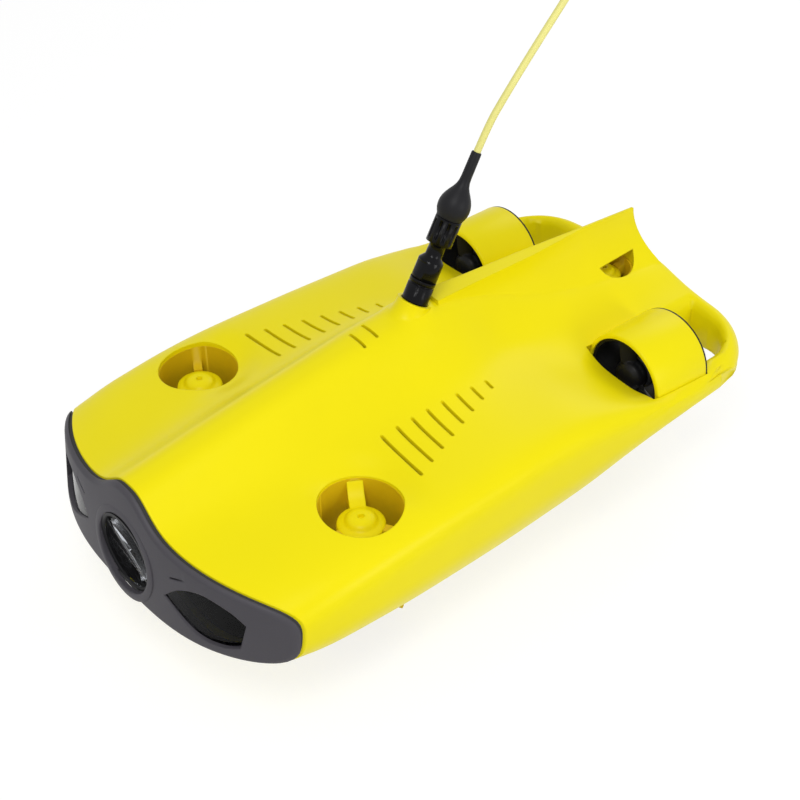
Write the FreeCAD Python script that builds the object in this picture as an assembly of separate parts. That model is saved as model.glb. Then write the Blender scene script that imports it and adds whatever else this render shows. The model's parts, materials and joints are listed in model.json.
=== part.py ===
import FreeCAD, Part
import math
import os

# Compact five-thruster underwater inspection vehicle, all lengths in millimetres.
# +Z is up, the nose points along -Y, and the vehicle's left side is +X.
# The origin lies on the surface that the belly rails rest on, under the middle of the hull.

V = FreeCAD.Vector
UP = V(0, 0, 1)
AFT = V(0, 1, 0)
ORIGIN = V(0, 0, 0)
SIDES = (("left", 1), ("right", -1))

# ---------------------------------------------------------------- hull sizes
wall = 3.0                 # hull moulding
seam = 0.3                 # gap between parts that are fitted together
snug = 0.1                 # gap between a pressed-in part and its seat
parting_z = 38.0           # joint between the upper and the lower shell
cavity_end = 74.0          # aft of this the hull is a solid foamed moulding

# Lines plan of the hull, one row for each station: where it is, half width, height of the
# widest line, height of the wing, height and half width of the crown, keel height, how far
# the chin hangs, how square the shoulder and the bilge are, and how deep the deck dips
# ahead of the nozzles.
STATION_FIELDS = ("y", "half_width", "side", "wing", "crown", "crown_half",
                  "keel", "chin", "shoulder", "bilge", "dip")
STATIONS = (
    (-200.0, 97.0, 71.0, 95.5, 111.5, 20.0, 50.0, 8.0, 3.2, 3.2, 0.0),
    (-160.0, 100.5, 71.0, 97.5, 117.0, 21.5, 47.0, 6.0, 3.6, 2.8, 0.0),
    (-120.0, 109.0, 70.0, 100.0, 123.5, 23.0, 22.0, 3.0, 5.2, 2.1, 0.0),
    (-70.0, 113.0, 70.5, 102.8, 131.0, 23.5, 8.0, 1.0, 6.0, 1.95, 0.0),
    (-15.0, 111.5, 71.5, 103.2, 136.0, 25.0, 4.0, 0.0, 6.0, 1.93, 0.0),
    (22.0, 109.0, 72.5, 102.8, 136.5, 22.0, 4.0, 0.0, 6.0, 1.93, 0.0),
    (55.0, 107.0, 73.5, 100.5, 130.0, 17.0, 11.0, 0.0, 6.0, 1.93, 0.0),
    (85.0, 105.5, 74.0, 95.0, 119.0, 22.0, 27.0, 0.0, 6.0, 1.93, 3.5),
    (106.0, 104.0, 73.5, 91.0, 113.0, 26.0, 39.0, 0.0, 6.0, 1.95, 9.0),
    (128.0, 101.0, 73.0, 87.5, 107.5, 28.0, 49.0, 0.0, 5.5, 2.0, 4.0),
    (165.0, 96.5, 71.5, 83.5, 101.0, 31.0, 56.0, 0.0, 4.5, 2.2, 0.0),
    (197.5, 95.5, 70.5, 81.0, 95.0, 33.0, 58.5, 0.0, 4.2, 2.2, 0.0),
)
crown_power = 3.0          # how steep the sides of the crown are
station_step = 20.0        # the hull form runs straight between stations no further apart than this
chin_half = 26.0
chin_power = 4.0
dip_half = 25.0
dip_power = 4.0
tail_y = STATIONS[-1][0]   # aft edge of the tail
top_shares = (0.0, 0.065, 0.13, 0.195, 0.27, 0.36, 0.48, 0.62, 0.76, 0.87, 0.94, 0.98, 0.996)
bottom_shares = (0.985, 0.93, 0.83, 0.68, 0.5, 0.25, 0.0)

tail_half = 96.5           # half width of the tail
tail_corner = 34.0         # plan radius of the tail's corners
tail_round = 5.0           # rounding of the tail's upper and lower rim

# ---------------------------------------------------------------- face mask
bow_y = -180.3             # hull's front edge on the centre line, at the bow height
bow_z = 75.0
bow_sweep = 31.0           # how far the bow sweeps back at 100 mm from the middle
bow_power = 2.9
bow_rake = 0.1             # lean back for each millimetre of height
mask_stand = 2.8           # how far the mask stands ahead of the hull's edge
mask_spigot = 8.0          # rim of the mask that enters the hull
rim_wall = 2.4
gasket_depth = 1.0
gasket_inset = 0.5
camera_z = 73.0
camera_r = 22.5
camera_lip = 2.5
camera_depth = 30.0
barrel_wall = 1.8
window_thick = 2.0
lens_r = 13.0
lamp_inner_x = 36.0
lamp_outer_x = 85.0
lamp_low_z = 57.5
lamp_high_z = 86.0
lamp_wall = 1.6
lamp_depth = 16.0
lens_thick = 1.5

# ---------------------------------------------------------------- thrusters
front_duct_x = 72.8
front_duct_y = -85.3
front_bore_r = 22.0
front_hub_z = 82.0         # underside of the front hubs
rear_duct_y = 160.0
rear_bore_r = 17.0
rear_bore_top = 112.0
rear_hub_z = 87.0
duct_wall = 2.2
tip_gap = 1.2              # between a blade's tip and its duct
blade_count = 3
blade_thick = 1.4
blade_pitch = 32.0
shaft_r = 2.0
shaft_gap = 0.05
hub_share = 0.55           # hub radius as a share of the bore it stands in
hub_height = 8.0
dome_height = 8.0
screw_hole_r = 1.6
motor_length = 15.0
prop_hub_length = 9.0
prop_gap = 1.0
spoke_count = 3
spoke_width = 5.0
spoke_height = 7.0
guard_thick = 2.0

nozzle_x = 70.1
nozzle_z = 81.5
nozzle_front = 106.0
nozzle_length = 39.6
nozzle_r = 27.8
nozzle_wall = 2.6
liner_wall = 1.8
liner_set = 1.2            # liner's setback from the nozzle's front lip
mouth_gap = 4.0            # slot between the deck and the nozzle's mouth
scoop_half = 20.0
scoop_top = 68.0
scoop_low = 40.0
scoop_front = 79.0

# ---------------------------------------------------------------- bumper loops
bumper_side = 7.5
bumper_rear = 13.0
loop_inner_x = 50.0
loop_corner = 24.0

# ---------------------------------------------------------------- fin
fin_tip_y = 180.0
fin_tip_z = 131.6
fin_foot_y = 193.0
fin_foot_z = 98.0
# Fin stations: where it is, height of the ridge, half width of the flat top, half width of the foot
FIN_STATIONS = (
    (22.0, 140.2, 6.5, 19.0),
    (50.0, 139.0, 5.2, 18.0),
    (95.0, 136.8, 3.8, 20.0),
    (136.0, 135.4, 0.9, 21.0),
    (200.0, 130.2, 0.7, 22.0),
)

# ---------------------------------------------------------------- vents
vent_count = 8
vent_pitch = 10.4
vent_width = 1.6
vent_first_y = -49.0
vent_inner_x = 44.0
vent_first_length = 34.0
vent_step = 3.9

# ---------------------------------------------------------------- tether
plug_y = 10.7              # centre of the boss's face
plug_z = 142.0
plug_lean = 29.3           # lean towards the stern, in degrees
boss_r = 9.6
boss_length = 14.0
socket_r = 7.6
spigot_r = 4.8
spigot_length = 6.0
nut_r = 7.4
nut_length = 13.0
collar_r = 7.2
collar_length = 14.0
neck_r = 4.7
neck_length = 7.4
grip_r = 7.4
grip_length = 14.5
grip_ribs = 10
boot_r = 9.0
boot_length = 20.5
sleeve_r = 2.8
sleeve_length = 18.0
cable_r = 2.0
plug_travel = 15.0
# Cable route in the middle plane, (y, z) from the boot's end to the ferrule
CABLE_ROUTE = (
    (60.6, 231.2), (71.6, 243.9), (84.6, 258.2), (99.4, 273.6), (115.6, 290.1), (124.4, 299.7))
ferrule_r = 4.2
ferrule_length = 20.0
ring_r = 8.0
ring_wire_r = 1.5

# ---------------------------------------------------------------- inner parts
vessel_r = 34.0
vessel_wall = 3.0
vessel_z = 62.0
vessel_front = -112.0
vessel_back = 60.0
cap_length = 12.0
cap_flange = 3.0
seal_r = 1.3
battery_height = 30.0
board_thick = 1.6
saddle_thick = 8.0
post_r = 4.5
screw_r = 1.5
screw_bore_r = 1.6
screw_head_r = 3.0
screw_head_h = 2.5
POSTS = ((80.0, -35.0), (78.0, 25.0), (40.0, -120.0))
ballast_x = 52.0

# ---------------------------------------------------------------- belly
rail_x = 30.0
rail_width = 8.0
rail_front = -78.0
rail_back = 38.0
keel_pad_width = 10.0
keel_pad_front = -8.0
insert_y = -20.0
insert_r = 5.5
insert_bore_r = 3.1        # 1/4 inch camera thread
insert_length = 10.0


# ---------------------------------------------------------------- small helpers
def cylinder(radius, length, base, axis=UP):
    return Part.makeCylinder(radius, length, base, axis)


def tube(outer, inner, length, base, axis=UP):
    return cylinder(outer, length, base, axis).cut(cylinder(inner, length, base, axis))


def box(x0, x1, y0, y1, z0, z1):
    return Part.makeBox(x1 - x0, y1 - y0, z1 - z0, V(x0, y0, z0))


def mirrored(shape):
    return shape.mirror(ORIGIN, V(1, 0, 0))


def to_side(shape, side):
    return shape if side > 0 else mirrored(shape)


def placed(shape, base, axis):
    """Shape built along +Z from the origin, moved to base with its +Z along axis."""
    copy = shape.copy()
    copy.Placement = FreeCAD.Placement(base, FreeCAD.Rotation(UP, axis))
    return copy


def fused(shapes):
    solid = shapes[0]
    for other in shapes[1:]:
        solid = solid.fuse(other)
    return solid


def cut_all(solid, tools):
    for tool in tools:
        solid = solid.cut(tool)
    return solid


def lathe(profile):
    """Solid turned about Z from (radius, height) corners, the first and last on the axis."""
    wire = Part.makePolygon([V(r, 0, z) for r, z in profile] + [V(profile[0][0], 0, profile[0][1])])
    return Part.Face(wire).revolve(ORIGIN, UP, 360)


def save(name, shape):
    solids = [s for s in shape.Solids if s.Volume > 0.5]
    result = solids[0] if len(solids) == 1 else Part.makeCompound(solids)
    result.exportStep("parts/%s.step" % name)
    if not all(s.isValid() for s in solids):
        print("invalid", name)
    print("%-22s %d solids %9.0f mm3" % (name, len(solids), result.Volume))


# ---------------------------------------------------------------- hull lines
def station_slope(k, field):
    """Rate of change of one field at station k, from its neighbours."""
    lo = STATIONS[max(k - 1, 0)]
    hi = STATIONS[min(k + 1, len(STATIONS) - 1)]
    return (hi[field] - lo[field]) / (hi[0] - lo[0])


def station_at(y):
    """Smooth cubic run through the stations."""
    k = max([i for i, row in enumerate(STATIONS[:-1]) if row[0] <= y] + [0])
    lo = STATIONS[k]
    hi = STATIONS[k + 1]
    span = hi[0] - lo[0]
    t = (y - lo[0]) / span
    values = [y]
    for field in range(1, len(lo)):
        rise = (2 * t ** 3 - 3 * t ** 2 + 1) * lo[field] + (3 * t ** 2 - 2 * t ** 3) * hi[field]
        rise += (t ** 3 - 2 * t ** 2 + t) * span * station_slope(k, field)
        rise += (t ** 3 - t ** 2) * span * station_slope(k + 1, field)
        values.append(rise)
    return dict(zip(STATION_FIELDS, values))


def bell(x, half, power):
    return 1.0 / (1.0 + abs(x / half) ** power)


def arch(x, half, power):
    return max(1.0 - min(abs(x) / half, 1.0) ** power, 0.0) ** (1.0 / power)


def top_height(s, x):
    rise = (s["crown"] - s["wing"]) * bell(x, s["crown_half"], crown_power)
    rise -= s["dip"] * bell(abs(x) - nozzle_x, dip_half, dip_power)
    return s["side"] + (s["wing"] - s["side"] + rise) * arch(x, s["half_width"], s["shoulder"])


def bottom_height(s, x):
    hang = s["chin"] * bell(x, chin_half, chin_power)
    return s["side"] - (s["side"] - s["keel"] + hang) * arch(x, s["half_width"], s["bilge"])


def top_outline(s):
    """Upper outline of a station as (x, z), from one widest line over the crown to the other."""
    w = s["half_width"]
    half = [(u * w, top_height(s, u * w)) for u in top_shares] + [(w, s["side"])]
    return [(-x, z) for x, z in reversed(half[1:])] + half


def bottom_outline(s):
    """Lower outline of a station, from one widest line under the keel to the other."""
    w = s["half_width"]
    half = [(w, s["side"])] + [(u * w, bottom_height(s, u * w)) for u in bottom_shares]
    return half + [(-x, z) for x, z in reversed(half[:-1])]


def inset_outline(points, inset):
    """Outline moved inwards by inset, square to itself and level at its two ends."""
    moved = []
    last = len(points) - 1
    for i, (x, z) in enumerate(points):
        ax, az = points[max(i - 1, 0)]
        bx, bz = points[min(i + 1, last)]
        if i in (0, last):
            moved.append((x - math.copysign(inset, x), z))
        else:
            length = math.hypot(bx - ax, bz - az)
            moved.append((x + inset * (bz - az) / length, z - inset * (bx - ax) / length))
    return moved


def spacing(outline):
    """Share of the way along at each outline point, taken at the middle of the hull."""
    points = outline(station_at(0.0))
    run = [0.0]
    for a, b in zip(points, points[1:]):
        run.append(run[-1] + math.hypot(b[0] - a[0], b[1] - a[1]))
    return [r / run[-1] for r in run]


def section_wire(s, inset):
    edges = []
    for outline in (top_outline, bottom_outline):
        curve = Part.BSplineCurve()
        points = [V(x, s["y"], z) for x, z in inset_outline(outline(s), inset)]
        curve.interpolate(Points=points, Parameters=spacing(outline))
        edges.append(curve.toShape())
    return Part.Wire(edges)


def hull_loft(inset=0.0, y_to=tail_y):
    """Closed hull form from the first station to y_to, moved inwards by inset."""
    y_from = STATIONS[0][0]
    count = int(math.ceil((y_to - y_from) / station_step))
    rows = [station_at(y_from + (y_to - y_from) * k / count) for k in range(count + 1)]
    return Part.makeLoft([section_wire(s, inset) for s in rows], True, True)


def bow_line(x):
    return bow_y + bow_sweep * abs(x / 100.0) ** bow_power


def behind_bow(setback):
    """Everything aft of the bow surface, moved aft by setback."""
    half = 130.0
    low = -40.0
    high = 180.0
    shift = setback - bow_rake * (bow_z - low)
    marks = [half * k / 8.0 for k in range(-8, 9)]
    curve = Part.BSplineCurve()
    curve.interpolate(Points=[V(x, bow_line(x) + shift, low) for x in marks])
    corners = [V(half, bow_line(half) + shift, low), V(half, 260, low),
               V(-half, 260, low), V(-half, bow_line(half) + shift, low)]
    sides = [Part.makeLine(a, b) for a, b in zip(corners, corners[1:])]
    face = Part.Face(Part.Wire([curve.toShape()] + sides))
    return face.extrude(V(0, bow_rake * (high - low), high - low))


# ---------------------------------------------------------------- hull cutters
def tail_corner_cut():
    x = tail_half - tail_corner
    y = tail_y - tail_corner
    return box(x, 140, y, tail_y + 40, -20, 200).cut(cylinder(tail_corner, 260, V(x, y, -30)))


def loop_pocket():
    y0 = nozzle_front + nozzle_length
    block = box(loop_inner_x, tail_half - bumper_side, y0 - 1, tail_y - bumper_rear, 20, 150)
    corner = [e for e in block.Edges if e.BoundBox.ZLength > 120
              and e.BoundBox.YMin > y0 and e.BoundBox.XMin > loop_inner_x + 1]
    return block.makeFillet(loop_corner, corner)


def nozzle_cut():
    base = V(nozzle_x, nozzle_front - mouth_gap, nozzle_z)
    return cylinder(nozzle_r + snug, nozzle_length + mouth_gap + 1, base, AFT)


def belly_scoop():
    """Sloping channel in the belly that feeds the lower half of the mouth."""
    edge = nozzle_front
    side = Part.makePolygon([
        V(nozzle_x - scoop_half, edge, scoop_top), V(nozzle_x - scoop_half, edge, 0),
        V(nozzle_x - scoop_half, scoop_front - 40, 0), V(nozzle_x - scoop_half, scoop_front, scoop_low),
        V(nozzle_x - scoop_half, edge, scoop_top)])
    return Part.Face(side).extrude(V(2 * scoop_half, 0, 0))


def vent_row():
    cuts = []
    for k in range(vent_count):
        y = vent_first_y + k * vent_pitch
        length = vent_first_length - k * vent_step
        cuts.append(box(vent_inner_x, vent_inner_x + length, y - vent_width / 2, y + vent_width / 2, 85, 125))
    return cuts


# ---------------------------------------------------------------- fin
def fin_section(y, ridge, top_half, foot_half):
    foot_z = top_height(station_at(y), foot_half) - 1.0
    rise = ridge - foot_z
    run = foot_half - top_half
    low = foot_z - 12
    flank = [(top_half, ridge), (top_half + 0.10 * run, ridge - 0.45 * rise),
             (top_half + 0.35 * run, ridge - 0.78 * rise), (foot_half, foot_z)]
    left = Part.BSplineCurve()
    left.interpolate(Points=[V(x, y, z) for x, z in flank], Parameters=[0.0, 0.4, 0.7, 1.0])
    right = Part.BSplineCurve()
    right.interpolate(Points=[V(-x, y, z) for x, z in reversed(flank)], Parameters=[0.0, 0.3, 0.6, 1.0])
    return Part.Wire([
        Part.makeLine(V(-top_half, y, ridge), V(top_half, y, ridge)),
        left.toShape(),
        Part.makeLine(V(foot_half, y, foot_z), V(foot_half, y, low)),
        Part.makeLine(V(foot_half, y, low), V(-foot_half, y, low)),
        Part.makeLine(V(-foot_half, y, low), V(-foot_half, y, foot_z)),
        right.toShape()])


def fin_blade():
    blade = Part.makeLoft([fin_section(*row) for row in FIN_STATIONS], True, True)
    rake = Part.makePolygon([
        V(-60, fin_tip_y, 170), V(-60, fin_tip_y, fin_tip_z + 1), V(-60, fin_foot_y, fin_foot_z),
        V(-60, fin_foot_y, 60), V(-60, 260, 60), V(-60, 260, 170), V(-60, fin_tip_y, 170)])
    return blade.cut(Part.Face(rake).extrude(V(120, 0, 0)))


# ---------------------------------------------------------------- tether axis
def plug_axis():
    lean = math.radians(plug_lean)
    return V(0, math.sin(lean), math.cos(lean))


def plug_point(along):
    return V(0, plug_y, plug_z) + plug_axis() * along


# ---------------------------------------------------------------- shells
def hull_openings():
    """Cutters for everything that opens through the hull."""
    duct = cylinder(front_bore_r, 160, V(front_duct_x, front_duct_y, 0))
    side_tools = [duct, nozzle_cut(), belly_scoop(), loop_pocket()] + vent_row()
    tools = [to_side(tool, side) for name, side in SIDES for tool in side_tools]
    tools.append(cylinder(rear_bore_r, rear_bore_top, V(0, rear_duct_y, 0)))
    tools.append(cylinder(socket_r + snug, 30, plug_point(-29), plug_axis()))
    return tools


def screw_places():
    """Axis position and height of the hull's underside at each shell screw."""
    places = []
    for x, y in POSTS:
        floor = bottom_height(station_at(y), x)
        places += [(side * x, y, floor) for name, side in SIDES]
    return places


def build_hull():
    corner = tail_corner_cut()
    solid = hull_loft().cut(corner).cut(mirrored(corner))
    solid = solid.fuse(fin_blade())
    solid = solid.fuse(Part.makeCone(boss_r + 3, boss_r, boss_length, plug_point(-boss_length), plug_axis()))
    solid = solid.common(behind_bow(gasket_depth))
    solid = solid.cut(hull_loft(wall, cavity_end))
    return solid.cut(hull_openings())


def build_shells():
    solid = build_hull()
    above = box(-150, 150, -250, 250, parting_z + seam / 2, 200)
    below = box(-150, 150, -250, 250, -20, parting_z - seam / 2)
    inner = hull_loft(wall - seam, cavity_end - seam)
    posts = [cylinder(post_r, 120, V(x, y, 0)).common(inner) for x, y, floor in screw_places()]
    bores = [cylinder(screw_bore_r, parting_z + 12 - floor, V(x, y, floor - 1)) for x, y, floor in screw_places()]
    bores += [cylinder(screw_head_r + snug, 6 + screw_head_h, V(x, y, floor - 6)) for x, y, floor in screw_places()]
    boss = cylinder(insert_r + 3.5, insert_length + 4, V(0, insert_y, 3)).common(inner)
    keel = bottom_height(station_at(insert_y), 0)
    seat = cylinder(insert_r + snug, insert_length + 3, V(0, insert_y, keel - 2))
    upper = solid.common(above).fuse([post.common(above) for post in posts]).cut(bores)
    lower = solid.common(below).fuse([post.common(below) for post in posts] + [boss]).cut(bores + [seat])
    return upper, lower


def save_shells():
    upper, lower = build_shells()
    save("upper_shell", upper)
    save("lower_shell", lower)


# ---------------------------------------------------------------- mask, camera and lamps
def lamp_outline(margin):
    """Eye-shaped outline of a lamp, pointed towards the camera, grown by margin."""
    mid_z = lamp_low_z + 0.45 * (lamp_high_z - lamp_low_z)
    span = lamp_outer_x - lamp_inner_x
    tip = (lamp_inner_x - 2 * margin, mid_z)
    upper = [tip,
             (lamp_inner_x + 0.22 * span - margin, lamp_high_z - 5.5 + margin),
             (lamp_inner_x + 0.52 * span, lamp_high_z + margin),
             (lamp_inner_x + 0.82 * span + margin, lamp_high_z - 3.0 + margin),
             (lamp_outer_x + margin, lamp_high_z - 9.0)]
    lower = [(lamp_outer_x - 2.5 + margin, lamp_low_z + 3.5),
             (lamp_inner_x + 0.74 * span + margin, lamp_low_z - margin),
             (lamp_inner_x + 0.45 * span, lamp_low_z + 1.0 - margin),
             tip]
    return upper, lower


def lamp_prism(margin):
    upper, lower = lamp_outline(margin)
    curves = []
    for run in (upper, lower):
        curve = Part.BSplineCurve()
        curve.interpolate(Points=[V(x, -240, z) for x, z in run])
        curves.append(curve.toShape())
    edge = Part.makeLine(V(upper[-1][0], -240, upper[-1][1]), V(lower[0][0], -240, lower[0][1]))
    return Part.Face(Part.Wire([curves[0], edge, curves[1]])).extrude(V(0, 160, 0))


def save_face():
    outer = hull_loft(0.0, -80.0)
    inner = hull_loft(wall + seam, -80.0)
    front = behind_bow(-mask_stand)
    edge = behind_bow(0)
    plate = outer.common(front).cut(edge)
    rim = inner.common(edge).cut(behind_bow(mask_spigot)).cut(hull_loft(wall + seam + rim_wall, -80.0))
    mask = plate.fuse(rim)
    lip_y = bow_y - mask_stand - camera_lip / 2
    lip = tube(camera_r + 3, camera_r, 8, V(0, lip_y, camera_z), AFT)
    mask = mask.fuse(lip)
    mask = mask.cut(cylinder(camera_r, 80, V(0, -230, camera_z), AFT))
    prism = lamp_prism(0)
    for name, side in SIDES:
        mask = mask.cut(to_side(prism, side))
    save("face_mask", mask)
    slice_ = behind_bow(snug).cut(behind_bow(gasket_depth - snug))
    band = slice_.common(hull_loft(gasket_inset, -80.0))
    save("mask_gasket", band.cut(hull_loft(wall + seam - snug, -80.0)))

    for name, side in SIDES:
        glass = lamp_prism(-snug).common(behind_bow(-mask_stand + 0.6)).cut(behind_bow(-mask_stand + 0.6 + lens_thick))
        pod = lamp_prism(lamp_wall).common(behind_bow(mask_spigot + snug)).cut(behind_bow(mask_spigot + lamp_depth))
        hollow = lamp_prism(0).common(behind_bow(0)).cut(behind_bow(mask_spigot + lamp_depth - lamp_wall))
        board_back = mask_spigot + lamp_depth - lamp_wall - snug
        board = lamp_prism(-1.5).common(behind_bow(board_back - 1.6)).cut(behind_bow(board_back))
        save("lamp_window_" + name, to_side(glass, side))
        save("lamp_housing_" + name, to_side(pod.cut(hollow), side))
        save("lamp_board_" + name, to_side(board, side))


def save_camera():
    front = bow_y - mask_stand + 1.0
    outer = camera_r - snug
    bore = outer - barrel_wall
    barrel = tube(outer, bore, camera_depth, V(0, front, camera_z), AFT)
    back = cylinder(outer, barrel_wall, V(0, front + camera_depth, camera_z), AFT)
    ledge = tube(bore + 0.2, bore - 2.0, 1.5, V(0, front + 1.0 + window_thick + snug, camera_z), AFT)
    save("camera_barrel", fused([barrel, back, ledge]))
    save("camera_window", cylinder(bore - snug, window_thick, V(0, front + 1.0, camera_z), AFT))
    seat = front + camera_depth - snug
    body = lathe([(0, 0), (lens_r + 3, 0), (lens_r + 3, 8), (lens_r, 9), (lens_r, 17), (lens_r - 3, 18.5),
                  (lens_r - 4.5, 15), (0, 15)])
    body = placed(body, V(0, seat, camera_z), V(0, -1, 0))
    save("camera_lens_body", body)
    glass = lathe([(0, 15.1), (lens_r - 4.8, 15.1), (lens_r - 5.6, 16.5), (lens_r - 8, 17.6), (0, 18.2)])
    save("camera_lens", placed(glass, V(0, seat, camera_z), V(0, -1, 0)))


# ---------------------------------------------------------------- thrusters
def blade(root, tip):
    """One propeller blade, a twisted lens section from root to tip, along +X."""
    wires = []
    for k in range(3):
        t = k / 2.0
        r = root + (tip - root) * t
        chord = (0.62 - 0.16 * abs(t - 0.5)) * (tip - root) * 1.15
        angle = math.radians(blade_pitch + 22.0 * (1 - t))
        along = V(0, math.cos(angle), math.sin(angle))
        across = V(0, -math.sin(angle), math.cos(angle))
        mid = V(r, 0, 0)
        a = mid - along * (chord / 2)
        b = mid + along * (chord / 2)
        hi = mid + across * (blade_thick / 2)
        lo = mid - across * (blade_thick / 2)
        wires.append(Part.Wire([Part.Arc(a, hi, b).toShape(), Part.Arc(b, lo, a).toShape()]))
    return Part.makeLoft(wires, True, False)


def propeller(tip_r, hub_r):
    """Propeller and shaft. The hub's face towards the motor lies at height zero."""
    hub = lathe([(0, 0), (hub_r, 0), (hub_r, -prop_hub_length + 3), (hub_r * 0.7, -prop_hub_length),
                 (0, -prop_hub_length)])
    shape = hub.fuse(cylinder(shaft_r, motor_length - 3 + prop_gap, ORIGIN))
    one = blade(hub_r - 1.2, tip_r)
    one.translate(V(0, 0, -prop_hub_length / 2))
    for k in range(blade_count):
        turned = one.copy()
        turned.rotate(ORIGIN, UP, 360.0 * k / blade_count + 20)
        shape = shape.fuse(turned)
    return shape


def motor(radius):
    """Motor can below height zero, with the shaft's bore."""
    can = lathe([(0, 0), (radius, 0), (radius, -motor_length + 1.5), (radius - 1.5, -motor_length),
                 (0, -motor_length)])
    return can.cut(cylinder(shaft_r + shaft_gap, motor_length - 2, V(0, 0, -motor_length)))


def hub_with_spokes(hub_r, reach, first_angle, count, width, height):
    """Domed hub on spokes. Its underside, which carries the motor, lies at height zero."""
    steps = 5
    dome = [(hub_r * math.cos(math.pi / 2 * k / steps), hub_height + dome_height * math.sin(math.pi / 2 * k / steps))
            for k in range(steps)]
    shape = lathe([(0, 0), (hub_r, 0)] + dome + [(0, hub_height + dome_height)])
    for k in range(count):
        spoke = box(hub_r - 2, reach, -width / 2, width / 2, 0.5, height)
        spoke.rotate(ORIGIN, UP, first_angle + 360.0 * k / count)
        shape = shape.fuse(spoke)
    return shape.cut(cylinder(screw_hole_r, 6, V(0, 0, hub_height + dome_height - 5)))


def guard(reach, angle):
    shape = cylinder(4.0, guard_thick, ORIGIN)
    for k in range(spoke_count):
        bar = box(0, reach, -1.2, 1.2, 0, guard_thick)
        bar.rotate(ORIGIN, UP, angle + 360.0 * k / spoke_count)
        shape = shape.fuse(bar)
    return shape


def save_vertical_thruster(name, x, y, bore, hub_z, ring, first_angle):
    hub_r = bore * hub_share
    motor_r = hub_r * 0.76
    base = V(x, y, hub_z)
    mount = placed(hub_with_spokes(hub_r, bore + 0.5, first_angle, spoke_count, spoke_width, spoke_height), base, UP)
    grille = guard(bore + 0.5, first_angle)
    grille.translate(V(x, y, ring["grille_z"]))
    save("duct_" + name, fused([ring["shape"], mount, grille]))
    save("motor_" + name, placed(motor(motor_r), base, UP))
    prop = propeller(bore - tip_gap, motor_r * 0.85)
    save("propeller_" + name, placed(prop, base + V(0, 0, -motor_length - prop_gap), UP))


def save_vertical_thrusters():
    inner = hull_loft(wall + seam, cavity_end - seam)
    tubes = tube(front_bore_r + duct_wall, front_bore_r, 160, V(front_duct_x, front_duct_y, 0)).common(inner)
    low = bottom_height(station_at(front_duct_y), front_duct_x)
    for name, side in SIDES:
        ring = {"shape": to_side(tubes, side), "grille_z": low + wall + 6}
        angle = 150 if side > 0 else 30
        save_vertical_thruster("front_" + name, side * front_duct_x, front_duct_y, front_bore_r,
                               front_hub_z, ring, angle)
    low = bottom_height(station_at(rear_duct_y), 0) + 1.5
    outer = rear_bore_r - snug
    lining = tube(outer, outer - 1.4, rear_hub_z + 11 - low, V(0, rear_duct_y, low))
    save_vertical_thruster("rear", 0, rear_duct_y, outer - 1.4, rear_hub_z, {"shape": lining, "grille_z": low + 0.5}, 90)


def save_horizontal_thrusters():
    bore = nozzle_r - nozzle_wall
    inner = bore - snug - liner_wall
    hub_r = inner * 0.5
    hub_y = nozzle_front + nozzle_length - hub_height - 5.0
    for name, side in SIDES:
        x = side * nozzle_x
        shell = tube(nozzle_r, bore, nozzle_length, V(x, nozzle_front, nozzle_z), AFT)
        liner = tube(bore - snug, inner, nozzle_length - 2 * liner_set, V(x, nozzle_front + liner_set, nozzle_z), AFT)
        vanes = hub_with_spokes(hub_r, inner + 0.5, 45, 4, 2.4, hub_height - 0.5)
        vanes = placed(vanes, V(x, hub_y, nozzle_z), AFT)
        tail = nozzle_front + nozzle_length - liner_set
        vanes = vanes.common(cylinder(bore, 100, V(x, tail - 100, nozzle_z), AFT))
        save("nozzle_" + name, shell)
        save("nozzle_liner_" + name, liner.fuse(vanes))
        can = placed(motor(hub_r * 0.9), V(x, hub_y, nozzle_z), AFT)
        save("motor_" + name, can)
        prop = propeller(inner - tip_gap, hub_r * 0.8)
        save("propeller_" + name, placed(prop, V(x, hub_y - motor_length - prop_gap, nozzle_z), AFT))


# ---------------------------------------------------------------- pressure vessel and contents
def save_vessel():
    length = vessel_back - vessel_front
    bore = vessel_r - vessel_wall
    start = V(0, vessel_front, vessel_z)
    save("pressure_vessel", tube(vessel_r, bore, length, start, AFT))
    plug_in = bore - snug
    seals = []
    for name, face, direction in (("front", vessel_front, -1), ("rear", vessel_back, 1)):
        axis = V(0, direction, 0)
        flange = cylinder(vessel_r + 1, cap_flange, V(0, face + direction * snug, vessel_z), axis)
        spigot = cylinder(plug_in, cap_length, V(0, face + direction * snug, vessel_z), axis * -1)
        cap = flange.fuse(spigot)
        for k in range(2):
            at = V(0, face - direction * (4 + 4 * k), vessel_z)
            cap = cap.cut(Part.makeTorus(plug_in - seal_r + 0.4, seal_r + snug, at, AFT))
            seals.append(Part.makeTorus(plug_in - seal_r + 0.4, seal_r, at, AFT).common(
                cylinder(bore - snug / 2, 20, at - AFT * 10, AFT)))
        save(name + "_end_cap", cap)
    save("end_cap_seals", Part.makeCompound(seals))
    gap = cap_length + seam
    cell = box(-24, 24, vessel_front + gap, vessel_back - gap, vessel_z - 18, vessel_z - 18 + battery_height)
    save("battery_pack", cell.makeFillet(4, [e for e in cell.Edges if e.BoundBox.YLength > 50]))
    board_z = vessel_z - 18 + battery_height + 3
    board = box(-21, 21, vessel_front + gap + 10, vessel_back - gap - 10, board_z, board_z + board_thick)
    chips = [box(x - 6, x + 6, y - 6, y + 6, board_z + board_thick, board_z + board_thick + 2)
             for x in (-10, 10) for y in (-60, -20, 20)]
    legs = [cylinder(1.5, 3, V(x, y, board_z - 3)) for x in (-16, 16) for y in (-80, 30)]
    save("main_board", fused([board] + chips + legs))


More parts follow.
